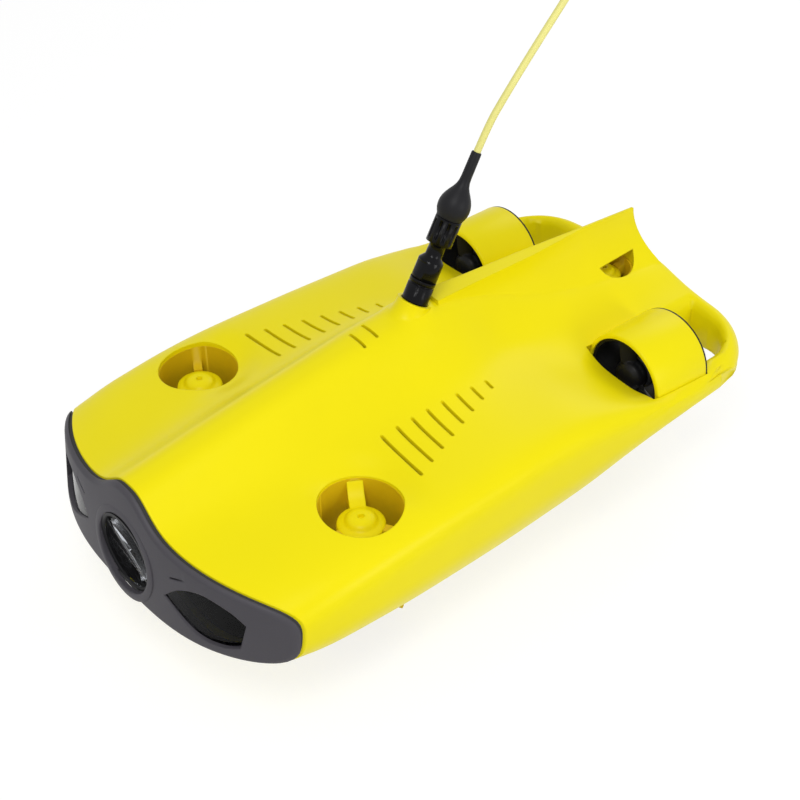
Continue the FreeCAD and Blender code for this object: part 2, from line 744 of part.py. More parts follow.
def save_saddles():
    inner = hull_loft(wall + seam, cavity_end - seam)
    vessel = cylinder(vessel_r + snug, 300, V(0, -200, vessel_z), AFT)
    for name, y in (("front", -88.0), ("rear", 30.0)):
        block = box(-34, 34, y, y + saddle_thick, 0, vessel_z - 8).common(inner)
        save(name + "_saddle", block.cut(vessel))
    weights = []
    for side in (-1, 1):
        bar = box(ballast_x - 9, ballast_x + 9, -52, -4, 0, 26).common(inner)
        weights.append(bar if side > 0 else mirrored(bar))
    save("ballast_weights", Part.makeCompound(weights))


# ---------------------------------------------------------------- belly
def belly_strip(x, width, front):
    """Rubber strip under the hull, chamfered at both ends."""
    strip = box(x - width / 2, x + width / 2, front, rail_back, 0, 14)
    ends = [e for e in strip.Edges if e.BoundBox.XLength > width - 1 and e.BoundBox.ZMin < 1 and e.BoundBox.ZMax < 1]
    return strip.makeChamfer(2.5, ends)


def save_belly():
    skin = hull_loft(-snug)
    for name, side in SIDES:
        rail = belly_strip(rail_x, rail_width, rail_front)
        save("belly_rail_" + name, to_side(rail.cut(skin), side))
    save("keel_pad", belly_strip(0, keel_pad_width, keel_pad_front).cut(skin))
    keel = bottom_height(station_at(insert_y), 0)
    save("accessory_insert", tube(insert_r, insert_bore_r, insert_length, V(0, insert_y, keel + 0.6)))
    screws = []
    for x, y, floor in screw_places():
        top = floor + screw_head_h - 0.1
        shank = cylinder(screw_r, parting_z + 9 - top, V(x, y, top - 0.1))
        screws.append(shank.fuse(cylinder(screw_head_r, screw_head_h, V(x, y, top - screw_head_h))))
    save("shell_screws", Part.makeCompound(screws))


# ---------------------------------------------------------------- tether connector and cable
def along_plug(shape, start):
    return placed(shape, plug_point(start), plug_axis())


def cable_wire(points, radius_share=0.45):
    """Straight runs joined by tangent arcs, each as large as its two runs allow."""
    edges = []
    last = points[0]
    for before, corner, after in zip(points, points[1:], points[2:]):
        u = (corner - before).normalize()
        v = (after - corner).normalize()
        turn = u.getAngle(v)
        run = min((corner - before).Length, (after - corner).Length)
        cut = run * radius_share
        print("bend radius %.0f" % (cut / math.tan(turn / 2)))
        a = corner - u * cut
        b = corner + v * cut
        bisector = (v - u).normalize()
        radius = cut / math.tan(turn / 2)
        middle = corner + bisector * (radius / math.cos(turn / 2) - radius)
        edges.append(Part.LineSegment(last, a).toShape())
        edges.append(Part.Arc(a, middle, b).toShape())
        last = b
    edges.append(Part.LineSegment(last, points[-1]).toShape())
    return Part.Wire(edges)


def save_tether():
    socket = cylinder(socket_r, 22, ORIGIN).fuse(cylinder(spigot_r, spigot_length, V(0, 0, 22)))
    save("tether_socket", along_plug(socket, -22 - 0.2))

    nut = tube(nut_r, spigot_r + snug, nut_length, ORIGIN)
    nut = nut.cut(tube(nut_r + 2, nut_r - 0.7, 1.2, V(0, 0, nut_length - 3.2)))
    save("coupling_nut", along_plug(nut, snug))

    base = spigot_length + 0.4
    core = cylinder(spigot_r, nut_length - base + 1, V(0, 0, base))
    at = nut_length + 2 * snug
    collar = lathe([(0, at), (collar_r, at), (collar_r, at + collar_length - 3), (neck_r, at + collar_length),
                    (0, at + collar_length)])
    flats = box(-collar_r - 1, collar_r + 1, collar_r - 0.9, collar_r + 1, at + 3, at + collar_length - 4)
    for k in range(2):
        cutter = flats.copy()
        cutter.rotate(ORIGIN, UP, 180.0 * k)
        collar = collar.cut(cutter)
    at += collar_length
    neck = cylinder(neck_r, neck_length, V(0, 0, at))
    at += neck_length
    grip = cylinder(grip_r, grip_length, V(0, 0, at))
    for k in range(grip_ribs):
        groove = box(grip_r - 0.8, grip_r + 1, -0.9, 0.9, at + 2.5, at + grip_length - 1.5)
        groove.rotate(ORIGIN, UP, 360.0 * k / grip_ribs)
        grip = grip.cut(groove)
    save("tether_plug", along_plug(fused([core, collar, neck, grip]), 0))

    at += grip_length + snug
    end = at + boot_length + sleeve_length
    boot = lathe([(0, at), (boot_r - 1.2, at), (boot_r, at + 2), (boot_r, at + 6), (boot_r - 1.6, at + 11),
                  (sleeve_r + 1.6, at + boot_length - 2.5), (sleeve_r, at + boot_length + 1), (sleeve_r, end - 0.6),
                  (sleeve_r - 0.5, end), (0, end)])
    core_gap = cylinder(cable_r + snug, 12, V(0, 0, end - 12))
    save("tether_boot", along_plug(boot.cut(core_gap), 0))

    route = [plug_point(end - 11.5)] + [V(0, y, z) for y, z in CABLE_ROUTE]
    path = cable_wire(route)
    profile = Part.Wire([Part.Circle(route[0], plug_axis(), cable_r).toShape()])
    cable = path.makePipeShell([profile], True, True)
    print("cable volume ratio %.4f" % (cable.Volume / (math.pi * cable_r ** 2 * path.Length)))
    print("cable length %.1f" % path.Length)
    save("tether_cable", cable)

    heading = (route[-1] - route[-2]).normalize()
    ferrule = lathe([(0, 0), (ferrule_r - 1, 0), (ferrule_r, 1.5), (ferrule_r, ferrule_length - 4),
                     (ferrule_r - 1.2, ferrule_length), (0, ferrule_length)])
    ferrule = ferrule.cut(cylinder(cable_r + snug, 8, V(0, 0, -1)))
    ferrule = placed(ferrule, route[-1] - heading * 6.5, heading)
    eye_at = route[-1] + heading * (ferrule_length - 6.5 - 3.5)
    ring_centre = eye_at + heading * ring_r
    ring = Part.makeTorus(ring_r, ring_wire_r, ring_centre, V(1, 0, 0))
    hole = Part.makeTorus(ring_r, ring_wire_r + snug, ring_centre, V(1, 0, 0))
    save("tether_ferrule", ferrule.cut(hole))
    save("tether_ring", ring)


if __name__ == "__main__":
    os.makedirs("parts", exist_ok=True)
    save_tether()
    save_belly()
    save_saddles()
    save_vessel()
    save_horizontal_thrusters()
    save_vertical_thrusters()
    save_camera()
    save_face()
    save_shells()
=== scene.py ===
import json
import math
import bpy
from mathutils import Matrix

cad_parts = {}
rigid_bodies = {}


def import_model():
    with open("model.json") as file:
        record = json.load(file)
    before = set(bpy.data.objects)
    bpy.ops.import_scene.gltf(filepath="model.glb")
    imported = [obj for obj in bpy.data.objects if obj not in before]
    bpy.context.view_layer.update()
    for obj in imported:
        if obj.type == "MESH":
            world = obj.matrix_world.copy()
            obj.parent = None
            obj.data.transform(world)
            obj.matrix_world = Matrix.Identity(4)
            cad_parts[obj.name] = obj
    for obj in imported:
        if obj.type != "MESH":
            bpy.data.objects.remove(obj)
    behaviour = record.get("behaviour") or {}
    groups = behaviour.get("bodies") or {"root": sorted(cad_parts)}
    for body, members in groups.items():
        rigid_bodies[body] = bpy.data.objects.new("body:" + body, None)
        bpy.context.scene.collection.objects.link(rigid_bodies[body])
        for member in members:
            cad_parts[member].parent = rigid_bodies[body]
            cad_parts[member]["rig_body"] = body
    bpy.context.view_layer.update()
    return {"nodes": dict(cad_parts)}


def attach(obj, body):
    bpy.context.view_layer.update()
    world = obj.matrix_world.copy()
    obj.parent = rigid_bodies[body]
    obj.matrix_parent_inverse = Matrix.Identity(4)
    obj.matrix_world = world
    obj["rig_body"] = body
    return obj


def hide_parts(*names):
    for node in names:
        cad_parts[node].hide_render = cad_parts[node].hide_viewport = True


bl_info = {
    "name": "Underwater inspection vehicle",
    "version": (1, 0, 0),
    "blender": (4, 5, 0),
    "location": "3D View > Sidebar > Vehicle",
    "description": "Dresses the packed inspection vehicle with its moulded skins, glass, cable and studio",
    "category": "Object",
}

import bmesh
import bpy
from bpy.props import FloatProperty, FloatVectorProperty, IntProperty, PointerProperty
from mathutils import Matrix, Vector

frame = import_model()

MM = 0.001
SIDES = (("left", 1), ("right", -1))

# Lines plan of the hull in millimetres, one row for each station.
STATION_FIELDS = ("y", "half_width", "side", "wing", "crown", "crown_half",
                  "keel", "chin", "shoulder", "bilge", "dip")
STATIONS = (
    (-200.0, 102.5, 70.0, 95.5, 111.5, 20.0, 50.0, 0.0, 2.8, 3.3, 0.0),
    (-160.0, 105.5, 70.0, 97.5, 117.0, 21.5, 46.5, 0.0, 3.2, 3.0, 0.0),
    (-120.0, 108.5, 70.0, 100.0, 123.5, 23.0, 22.0, 0.0, 4.8, 2.2, 0.0),
    (-70.0, 109.0, 70.5, 102.8, 131.0, 23.5, 8.0, 0.0, 6.0, 1.95, 0.0),
    (-15.0, 107.5, 71.5, 103.2, 137.5, 26.0, 4.0, 0.0, 6.0, 1.93, 0.0),
    (22.0, 106.0, 72.5, 102.8, 138.0, 23.0, 4.0, 0.0, 6.0, 1.93, 0.0),
    (55.0, 106.0, 73.5, 100.5, 130.0, 17.0, 11.0, 0.0, 6.0, 1.93, 0.0),
    (85.0, 106.0, 74.0, 95.0, 119.0, 22.0, 27.0, 0.0, 6.0, 1.93, 3.5),
    (106.0, 105.5, 73.5, 91.0, 113.0, 26.0, 39.0, 0.0, 6.0, 1.95, 9.0),
    (128.0, 104.5, 73.0, 87.5, 107.5, 28.0, 49.0, 0.0, 5.5, 2.0, 4.0),
    (165.0, 100.5, 71.0, 86.0, 102.0, 31.0, 54.5, 0.0, 4.5, 2.2, 0.0),
    (197.5, 96.5, 70.0, 86.5, 98.0, 33.0, 56.5, 0.0, 4.2, 2.2, 0.0),
)

# Sections: power of the raised spine, half widths of the chin and of the dips, distance between rings
CROWN_POWER = 3.0
CHIN_HALF = 26.0
DIP_HALF = 25.0
RING_STEP = 2.5

# Bow: place of its middle, sweep of its corners, rake and the height that the rake turns about
BOW_Y = -180.3
BOW_SWEEP = 26.5
BOW_POWER = 2.9
BOW_RAKE = 0.1
BOW_RAKE_Z = 75.0
BOW_END = -120.0

# Tail: half width, corner and rim, and the gaps inside its two bumper loops
TAIL_Y = STATIONS[-1][0]
TAIL_HALF = 100.5
TAIL_CORNER = 42.0
TAIL_ROUND = 9.0
TAIL_EDGE = 0.3
TAIL_MIDDLE_Z = 69.5
LOOP_INNER = 50.0
LOOP_SIDE = 88.0
LOOP_FRONT = 144.6
LOOP_REAR = TAIL_Y - 13.0
LOOP_CORNER = 24.0
LOOP_ROUND = 5.5
LOOP_EDGE = 0.62
BAR_START = 148.0

# Vertical ducts, the dished deck round the front pair, and the caps and webs of their motors
DECK_Z = 85
DUCT_PLACE = (72.8, -85.3)
DUCT_RADIUS = 22
DUCT_OPENING = 22.25
DUCT_CAP_Z = 82.0
REAR_DUCT_PLACE = (0.0, 160.0)
REAR_DUCT_OPENING = 17.0
REAR_DUCT_TOP = 108
REAR_CAP_Z = 87.0
REAR_CAP_SHARE = 0.8
DISH_TURN = 135
DISH_DEPTH = 5.0
DISH_INNER = 21
DISH_OUTER = 38
WEB_HALF = 4.3
WEB_PROFILE = ((9.0, 0.5), (21.9, 0.5), (21.9, 15.5), (20.0, 12.4), (17.0, 9.6), (13.0, 7.4), (9.0, 6.6))

# Rear nozzles and the channels that feed them from below, as (y, z)
NOZZLE_X = 70.1
NOZZLE_Z = 81.5
NOZZLE_FRONT = 106.0
NOZZLE_LENGTH = 39.6
NOZZLE_RADIUS = 27.8
NOZZLE_BORE = 25.2
NOZZLE_TRIM = ((24.6, 39.0), (27.5, 39.0), (27.5, 40.2), (27.0, 40.6), (24.6, 40.6))
SCOOP_HALF = 20
SCOOP_OUTLINE = ((106.0, 68.0), (106.0, 0.0), (39.0, 0.0), (79.0, 40.0))

# Vents of the deck, with a black screen below as painted shade in them, and drain slots across the spine as
# (x, y)
VENT_COUNT = 8
VENT_FIRST_Y = -49.0
VENT_PITCH = 10.4
VENT_SPAN = (44.0, 78.0)
VENT_STEP = 3.9
VENT_HALF = 0.95
VENT_SHADE_SCREEN = (42.0, 80.0, -52.0, 27.0, 96.2, 97.4)
DRAIN_SLOTS = ((-5.5, -30.0), (-7.0, -20.5))
DRAIN_LENGTH = 14.0
DRAIN_HALF = 0.9

# Mask openings: round camera port with its lip, lamps with the grooves above them
CAMERA_Z = 73.0
PORT_RADIUS = 22.5
PORT_LIP = ((22.5, -1.5), (22.5, 0.1), (22.9, 0.4), (23.6, 0.5), (24.6, 0.45), (25.8, 0.25), (27.0, -0.1),
            (27.2, -1.5))
LAMP_SPAN = (36.0, 85.0)
LAMP_HEIGHTS = (57.5, 86.0)
LAMP_REACH = (-230.0, -120.0)
BROW_PLACE = (47.5, 87.5)
BROW_TILT = -21.8
BROW_DEPTH = 1.6
MASK_ROUND = 2.2
MASK_STEP = 3.3

# Tether socket: its place, lean in degrees, boss and deck swell, then places along the connector's axis
SOCKET_PLACE = (0, 10.7, 142.0)
SOCKET_LEAN = 29.3
BOSS_RADIUS = 9.6
BOSS_FLARE = 5.0
BOSS_DEPTH = 14.0
SWELL_Y = 8.0
SWELL_Z = 141.8
SWELL_FALL = 0.04
SWELL_BLEND = 2.0
BOOT_BASE = 49.2
CABLE_START = 76.2

# Fin stations: where it is, height of the ridge, half width of the flat top and of the foot
FIN_STATIONS = (
    (22.0, 140.2, 6.5, 19.0),
    (50.0, 139.0, 5.2, 18.0),
    (95.0, 136.8, 3.8, 20.0),
    (136.0, 135.4, 0.9, 21.0),
    (200.0, 130.2, 0.7, 22.0),
)
FIN_TIP = (180.0, 131.6)
FIN_FOOT = (190.0, 98.0)
FIN_SWEEP = 1.5
FIN_HOLLOW = 2.1
FIN_DROP = 1.25
FIN_ROWS = 60
FIN_ROOT = 12

# Cable boot as (radius, height) above the connector's grip: lip, belly, neck and sleeve
BOOT_PROFILE = (
    (0.0, 0.0), (7.0, 0.0), (7.4, 0.5), (7.5, 1.2), (7.9, 1.9), (8.7, 4.0), (9.0, 6.2), (8.9, 8.4),
    (8.3, 10.8), (7.3, 13.0), (6.0, 15.2), (4.7, 17.2), (3.7, 19.2), (3.1, 21.4), (2.9, 24.0),
    (2.8, 37.6), (2.6, 38.3), (2.1, 38.5), (0.0, 38.5))

# Cap over a vertical thruster's motor, as (radius, height): side, shoulder, crown and screw recess
HUB_PROFILE = (
    (0.0, 0.4), (12.9, 0.4), (12.9, 4.6), (12.5, 6.0), (11.4, 6.9), (9.6, 7.3), (8.6, 7.9),
    (8.0, 9.0), (6.8, 10.0), (4.8, 10.6), (1.9, 10.8), (1.7, 10.5), (1.7, 8.4), (0.0, 8.4))

# Cable route in the middle plane as (y, z), from the boot to the ferrule
CABLE_ROUTE = (
    (60.6, 231.2), (71.6, 243.9), (84.6, 258.2), (99.4, 273.6), (115.6, 290.1), (124.4, 299.7))

# Studio: where the camera stands in metres with its turns in radians, and each light's place, target and size
CAMERA_PLACE = (0.5593, -0.4552, 0.6693)
CAMERA_TURNS = (0.8876, 0.6868, -0.0082)
LIGHTS = (
    ("key_light", (0.5, -0.55, 1.25), (0, 0, 0.06), 0.5, "key_power"),
    ("side_light", (1.3, 0.35, 0.45), (0, 0, 0.07), 0.5, "side_power"),
    ("back_light", (-0.5, 1.2, 1.0), (0, 0.05, 0.06), 0.7, "back_power"),
)


# ---------------------------------------------------------------- settings
class VehicleHullSizes(bpy.types.PropertyGroup):
    wall: FloatProperty(name="Wall", description="Thickness of the hull moulding in millimetres", default=3.0)
    parting_z: FloatProperty(
        name="Parting", description="Height of the joint between the shells in millimetres", default=38.0)
    seam: FloatProperty(name="Seam", description="Width of the joint lines in millimetres", default=0.3)
    cavity_end: FloatProperty(
        name="Cavity end", description="Where the hollow part of the hull ends, in millimetres", default=74.0)
    mask_gap: FloatProperty(
        name="Mask gap", description="Width of the dark line behind the mask in millimetres", default=2.1)
    mask_stand: FloatProperty(
        name="Mask stand", description="How far the mask stands ahead in millimetres", default=2.8)
    edge_round: FloatProperty(
        name="Edge rounding", description="Softness of the moulded edges in millimetres", default=0.9)
    ring_points: IntProperty(
        name="Ring points", description="Points along a quarter of a hull ring", default=44, min=12, max=90)
    ring_rows: IntProperty(name="Ring rows", description="Rings along the hull", default=110, min=20, max=200)


class VehicleFinish(bpy.types.PropertyGroup):
    hull_colour: FloatVectorProperty(
        name="Hull", description="Colour of the hull moulding", subtype="COLOR", size=4,
        default=(0.900, 0.775, 0.003, 1.0))
    mask_colour: FloatVectorProperty(
        name="Mask", description="Colour of the face mask", subtype="COLOR", size=4,
        default=(0.068, 0.064, 0.074, 1.0))
    cable_colour: FloatVectorProperty(
        name="Cable", description="Colour of the cable jacket", subtype="COLOR", size=4,
        default=(0.82, 0.77, 0.24, 1.0))
    black_colour: FloatVectorProperty(
        name="Black trim", description="Colour of the black mouldings", subtype="COLOR", size=4,
        default=(0.008, 0.008, 0.009, 1.0))


class VehicleStudio(bpy.types.PropertyGroup):
    lens: FloatProperty(name="Lens", description="Focal length in millimetres", unit="CAMERA", default=74.46)
    world_level: FloatProperty(name="Sky level", description="Strength of the surrounding light", default=0.5)
    key_power: FloatProperty(
        name="Key power", description="Power of the large overhead light", unit="POWER", default=7.2)
    side_power: FloatProperty(
        name="Side power", description="Power of the side light", unit="POWER", default=4.0)
    back_power: FloatProperty(
        name="Back power", description="Power of the light behind", unit="POWER", default=3.0)


def hull_sizes():
    return bpy.context.scene.vehicle_hull


def finish():
    return bpy.context.scene.vehicle_finish


# ---------------------------------------------------------------- hull lines
def station_slope(k, field):
    """Slope of a field at station k, taken from its neighbours."""
    lo = STATIONS[max(k - 1, 0)]
    hi = STATIONS[min(k + 1, len(STATIONS) - 1)]
    return (hi[field] - lo[field]) / (hi[0] - lo[0])


def station_at(y):
    """Smooth cubic run through the stations."""
    k = max([i for i, row in enumerate(STATIONS[:-1]) if row[0] <= y] + [0])
    lo = STATIONS[k]
    hi = STATIONS[k + 1]
    span = hi[0] - lo[0]
    t = (y - lo[0]) / span
    values = [y]
    for field in range(1, len(lo)):
        value = (2 * t ** 3 - 3 * t ** 2 + 1) * lo[field] + (3 * t ** 2 - 2 * t ** 3) * hi[field]
        value += (t ** 3 - 2 * t ** 2 + t) * span * station_slope(k, field)
        value += (t ** 3 - t ** 2) * span * station_slope(k + 1, field)
        values.append(value)
    return dict(zip(STATION_FIELDS, values))


def bell(x, half, power):
    """Hump of height one that falls to a half at half."""
    return 1.0 / (1.0 + abs(x / half) ** power)


def arch(x, half, power):
    """Superellipse of height one over the half width."""
    return max(1.0 - min(abs(x) / half, 1.0) ** power, 0.0) ** (1.0 / power)


def top_height(s, x):
    """Height of the deck of station s at x."""
    rise = (s["crown"] - s["wing"]) * bell(x, s["crown_half"], CROWN_POWER)
    rise -= s["dip"] * bell(abs(x) - NOZZLE_X, DIP_HALF, 4.0)
    return s["side"] + (s["wing"] - s["side"] + rise) * arch(x, s["half_width"], s["shoulder"])


def bottom_height(s, x):
    """Height of the bottom of station s at x."""
    hang = s["chin"] * bell(x, CHIN_HALF, 4.0)
    return s["side"] - (s["side"] - s["keel"] + hang) * arch(x, s["half_width"], s["bilge"])


def bow_line(x, z, setback=0.0):
    """Height-raked bow surface, moved aft by setback."""
    return BOW_Y + BOW_SWEEP * abs(x / 100.0) ** BOW_POWER + BOW_RAKE * (z - BOW_RAKE_Z) + setback


def tail_line(x):
    """Aft edge of the tail in plan, with its rounded corners."""
    over = max(abs(x) - (TAIL_HALF - TAIL_CORNER), 0.0)
    return TAIL_Y - TAIL_CORNER + math.sqrt(max(TAIL_CORNER ** 2 - over ** 2, 0.0))


def loop_outline():
    """Plan outline of the gap inside a bumper loop, with its round outer corner."""
    x, y = LOOP_SIDE - LOOP_CORNER, LOOP_REAR - LOOP_CORNER
    turns = [math.pi / 2 * k / 12 for k in range(13)]
    corner = [(x + LOOP_CORNER * math.cos(a), y + LOOP_CORNER * math.sin(a)) for a in turns]
    return [(LOOP_INNER, LOOP_FRONT), (LOOP_SIDE, LOOP_FRONT)] + corner + [(LOOP_INNER, LOOP_REAR)]


def loop_distance(x, y):
    """How far a place in plan lies outside the gap inside the bumper loop."""
    x = abs(x)
    if y < BAR_START:
        return math.inf
    if x > LOOP_SIDE - LOOP_CORNER and y > LOOP_REAR - LOOP_CORNER:
        return math.hypot(x - LOOP_SIDE + LOOP_CORNER, y - LOOP_REAR + LOOP_CORNER) - LOOP_CORNER
    return max(LOOP_INNER - x, x - LOOP_SIDE, y - LOOP_REAR)


def tail_distance(x, y):
    """How far a place in plan lies inside the tail's edge."""
    over_x = abs(x) - (TAIL_HALF - TAIL_CORNER)
    over_y = y - (TAIL_Y - TAIL_CORNER)
    if over_x > 0 and over_y > 0:
        return TAIL_CORNER - math.hypot(over_x, over_y)
    return TAIL_Y - y


def quarter_round(distance, reach, least):
    """Height share of a rounded edge at a distance from it."""
    share = min(max(distance / reach, 0.0), 1.0)
    return least + (1 - least) * math.sqrt(1 - (1 - share) ** 2)


def shaped(x, y, z):
    """Softens the rims of the tail, dishes the deck at the ducts and swells it at the tether boss."""
    squeeze = quarter_round(tail_distance(x, y), TAIL_ROUND, TAIL_EDGE)
    squeeze *= quarter_round(loop_distance(x, y), LOOP_ROUND, LOOP_EDGE)
    z = TAIL_MIDDLE_Z + (z - TAIL_MIDDLE_Z) * squeeze
    if z < DECK_Z:
        return x, y, z
    dx, dy = abs(x) - DUCT_PLACE[0], y - DUCT_PLACE[1]
    reach = math.hypot(dx, dy)
    if reach < DISH_OUTER:
        toward = max(0.0, math.cos(math.atan2(dy, dx) - math.radians(DISH_TURN))) if reach else 0.0
        fall = 1 - min(max((reach - DISH_INNER) / (DISH_OUTER - DISH_INNER), 0.0), 1.0)
        z -= DISH_DEPTH * toward * fall * fall * (3 - 2 * fall)
    dome = SWELL_Z - SWELL_FALL * (x * x + (y - SWELL_Y) ** 2)
    z += SWELL_BLEND * math.log1p(math.exp(min(dome - z, 40.0) / SWELL_BLEND))
    return x, y, z


def even_points(line, count):
    """Count + 1 points spread evenly along a line of (x, z) points."""
    run = [0.0]
    for a, b in zip(line, line[1:]):
        run.append(run[-1] + math.dist(a, b))
    points = []
    k = 0
    for i in range(count + 1):
        want = run[-1] * i / count
        while k < len(run) - 2 and run[k + 1] < want:
            k += 1
        t = (want - run[k]) / max(run[k + 1] - run[k], 1e-9)
        points.append(tuple(a + t * (b - a) for a, b in zip(line[k], line[k + 1])))
    return points


def quarter(s, upper, count):
    """Points of one quarter of a station, from the widest line to the middle plane."""
    w = s["half_width"]
    power = s["shoulder"] if upper else s["bilge"]
    height = top_height if upper else bottom_height
    xs = [w * max(math.cos(math.pi / 2 * k / 60), 0.0) ** (2 / power) for k in range(61)]
    xs += [w * k / 80 for k in range(80)]
    return even_points([(x, height(s, x)) for x in sorted(xs, reverse=True)], count)


def ring(y, inset=0.0):
    """Closed ring of (x, z) points round the hull, starting at the left widest line."""
    s = station_at(y)
    n = hull_sizes().ring_points
    top = quarter(s, True, n)
    low = quarter(s, False, n)
    points = top + [(-x, z) for x, z in reversed(top[:-1])]
    points += [(-x, z) for x, z in low[1:]] + list(reversed(low[1:-1]))
    if not inset:
        return points
    moved = []
    for i, (x, z) in enumerate(points):
        ax, az = points[i - 1]
        bx, bz = points[(i + 1) % len(points)]
        length = math.hypot(bx - ax, bz - az)
        moved.append((x - inset * (bz - az) / length, z + inset * (bx - ax) / length))
    return moved


class RingStack:
    """Rings of the hull at even steps, read at any place along it."""

    def __init__(self, inset=0.0, last=TAIL_Y):
        self.first = STATIONS[0][0]
        count = int((last - self.first) / RING_STEP) + 1
        self.rings = [ring(min(self.first + k * RING_STEP, TAIL_Y), inset) for k in range(count + 1)]
        self.points = len(self.rings[0])

    def at(self, i, y):
        """Point (x, z) of line i at a place along the hull."""
        place = min(max((y - self.first) / RING_STEP, 0.0), len(self.rings) - 1.001)
        k = int(place)
        t = place - k
        a = self.rings[k][i]
        b = self.rings[k + 1][i]
        return a[0] + t * (b[0] - a[0]), a[1] + t * (b[1] - a[1])

    def solve(self, i, limit):
        """Place where line i meets the surface y = limit(x, z), reached in short steps."""
        turns, share = 30, 0.4
        y = limit(*self.at(i, 0.0))
        for _ in range(turns):
            y += share * (limit(*self.at(i, y)) - y)
        return y


# ---------------------------------------------------------------- mesh helpers
def mapped_grid(across, along, place):
    """Grid rolled into a closed tube, each corner put at place(i, j) in millimetres."""
    bm = bmesh.new()
    bmesh.ops.create_grid(bm, x_segments=across, y_segments=along, size=1.0)
    for v in bm.verts:
        i = round((v.co.x + 1) / 2 * across) % across
        j = round((v.co.y + 1) / 2 * along)
        v.co = Vector(place(i, j)) * MM
    bmesh.ops.remove_doubles(bm, verts=bm.verts, dist=1e-6)
    return bm


def close_ends(bm):
    """Caps the open rings of a tube with flat faces."""
    edges = [e for e in bm.edges if e.is_boundary]
    bmesh.ops.holes_fill(bm, edges=edges, sides=0)
    bmesh.ops.recalc_face_normals(bm, faces=bm.faces)
    return bm


def turned(profile, base, axis, segments=96):
    """Solid turned from (radius, height) corners in millimetres, stood on base along axis."""
    bm = bmesh.new()
    verts = [bm.verts.new((r * MM, 0, h * MM)) for r, h in profile]
    edges = [bm.edges.new(pair) for pair in zip(verts, verts[1:])]
    if profile[0] != profile[-1] and (profile[0][0] > 0 or profile[-1][0] > 0):
        edges.append(bm.edges.new((verts[-1], verts[0])))
    bmesh.ops.spin(bm, geom=verts + edges, cent=(0, 0, 0), axis=(0, 0, 1), angle=math.tau, steps=segments,
                   use_merge=True)
    bmesh.ops.remove_doubles(bm, verts=bm.verts, dist=1e-7)
    bmesh.ops.recalc_face_normals(bm, faces=bm.faces)
    turn = Vector((0, 0, 1)).rotation_difference(Vector(axis)).to_matrix().to_4x4()
    bmesh.ops.transform(bm, verts=bm.verts, matrix=Matrix.Translation(Vector(base) * MM) @ turn)
    return bm


def bore(radius, length, base, axis=(0, 0, 1), segments=128):
    """Plain cylinder in millimetres, stood on base along axis."""
    return turned([(0, 0), (radius, 0), (radius, length), (0, length)], base, axis, segments)


def rounded(inner, radius, length, soften):
    """Profile of a ring whose two outer rims are softened."""
    turns = [math.pi / 2 * k / 3 for k in range(4)]
    rim = [(radius - soften * (1 - math.cos(a)), soften * (1 - math.sin(a))) for a in turns]
    return [(inner, 0)] + rim[::-1] + [(r, length - h) for r, h in rim] + [(inner, length)]


def block(x0, x1, y0, y1, z0, z1):
    """Box between two corners in millimetres."""
    bm = bmesh.new()
    bmesh.ops.create_cube(bm, size=1.0)
    centre = Vector(((x0 + x1) / 2, (y0 + y1) / 2, (z0 + z1) / 2)) * MM
    size = Vector((x1 - x0, y1 - y0, z1 - z0)) * MM
    bmesh.ops.transform(bm, verts=bm.verts, matrix=Matrix.Translation(centre) @ Matrix.Diagonal((*size, 1)))
    return bm


def swept(corners, travel):
    """Solid that a flat outline leaves behind when it moves by travel, in millimetres."""
    bm = bmesh.new()
    face = bm.faces.new([bm.verts.new([c * MM for c in corner]) for corner in corners])
    moved = bmesh.ops.extrude_face_region(bm, geom=[face])
    far = [v for v in moved["geom"] if isinstance(v, bmesh.types.BMVert)]
    bmesh.ops.translate(bm, verts=far, vec=[c * MM for c in travel])
    bmesh.ops.recalc_face_normals(bm, faces=bm.faces)
    return bm


def prism(outline, low, high):
    """Upright prism through a plan outline of (x, y) points."""
    return swept([(x, y, low) for x, y in outline], (0, 0, high - low))


def to_side(bm, side):
    """Shape of the left side as it is, or its mirror image for the right."""
    if side < 0:
        bmesh.ops.scale(bm, verts=bm.verts, vec=(-1, 1, 1))
        bmesh.ops.reverse_faces(bm, faces=bm.faces)
    return bm


def added(name, data):
    """New object in the scene."""
    obj = bpy.data.objects.new(name, data)
    bpy.context.scene.collection.objects.link(obj)
    return obj


def shape_object(name, bm):
    """New object that takes over a shape."""
    mesh = bpy.data.meshes.new(name)
    bm.to_mesh(mesh)
    bm.free()
    return added(name, mesh)


def loose_object(name, bm):
    """Object for Booleans, without a finish yet."""
    bmesh.ops.triangulate(bm, faces=[f for f in bm.faces if len(f.verts) > 4])
    return shape_object(name, bm)


def combine(obj, tools, operation="DIFFERENCE"):
    """Applies one Boolean for each tool, then removes the tools."""
    for k, bm in enumerate(tools):
        tool = loose_object("tool_%d" % k, bm)
        modifier = obj.modifiers.new("combine_%d" % k, "BOOLEAN")
        modifier.solver = "MANIFOLD"
        modifier.operation = operation
        modifier.object = tool
        bpy.context.view_layer.update()
        graph = bpy.context.evaluated_depsgraph_get()
        mesh = bpy.data.meshes.new_from_object(obj.evaluated_get(graph))
        obj.modifiers.clear()
        old = obj.data
        obj.data = mesh
        bpy.data.meshes.remove(old)
        bpy.data.objects.remove(tool)
    return obj


def dress(obj, material, body, nodes=(), sharp=34.0):
    """Gives a piece its finish and body, and hides the CAD nodes it stands for."""
    obj.data.materials.clear()
    obj.data.materials.append(material)
    obj.data.polygons.foreach_set("use_smooth", [True] * len(obj.data.polygons))
    obj.data.set_sharp_from_angle(angle=math.radians(sharp))
    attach(obj, body)
    if nodes:
        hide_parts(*nodes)
    return obj


def piece(name, bm, material, body, nodes=(), sharp=34.0):
    """Finished object made from a shape."""
    return dress(shape_object(name, bm), material, body, nodes, sharp)


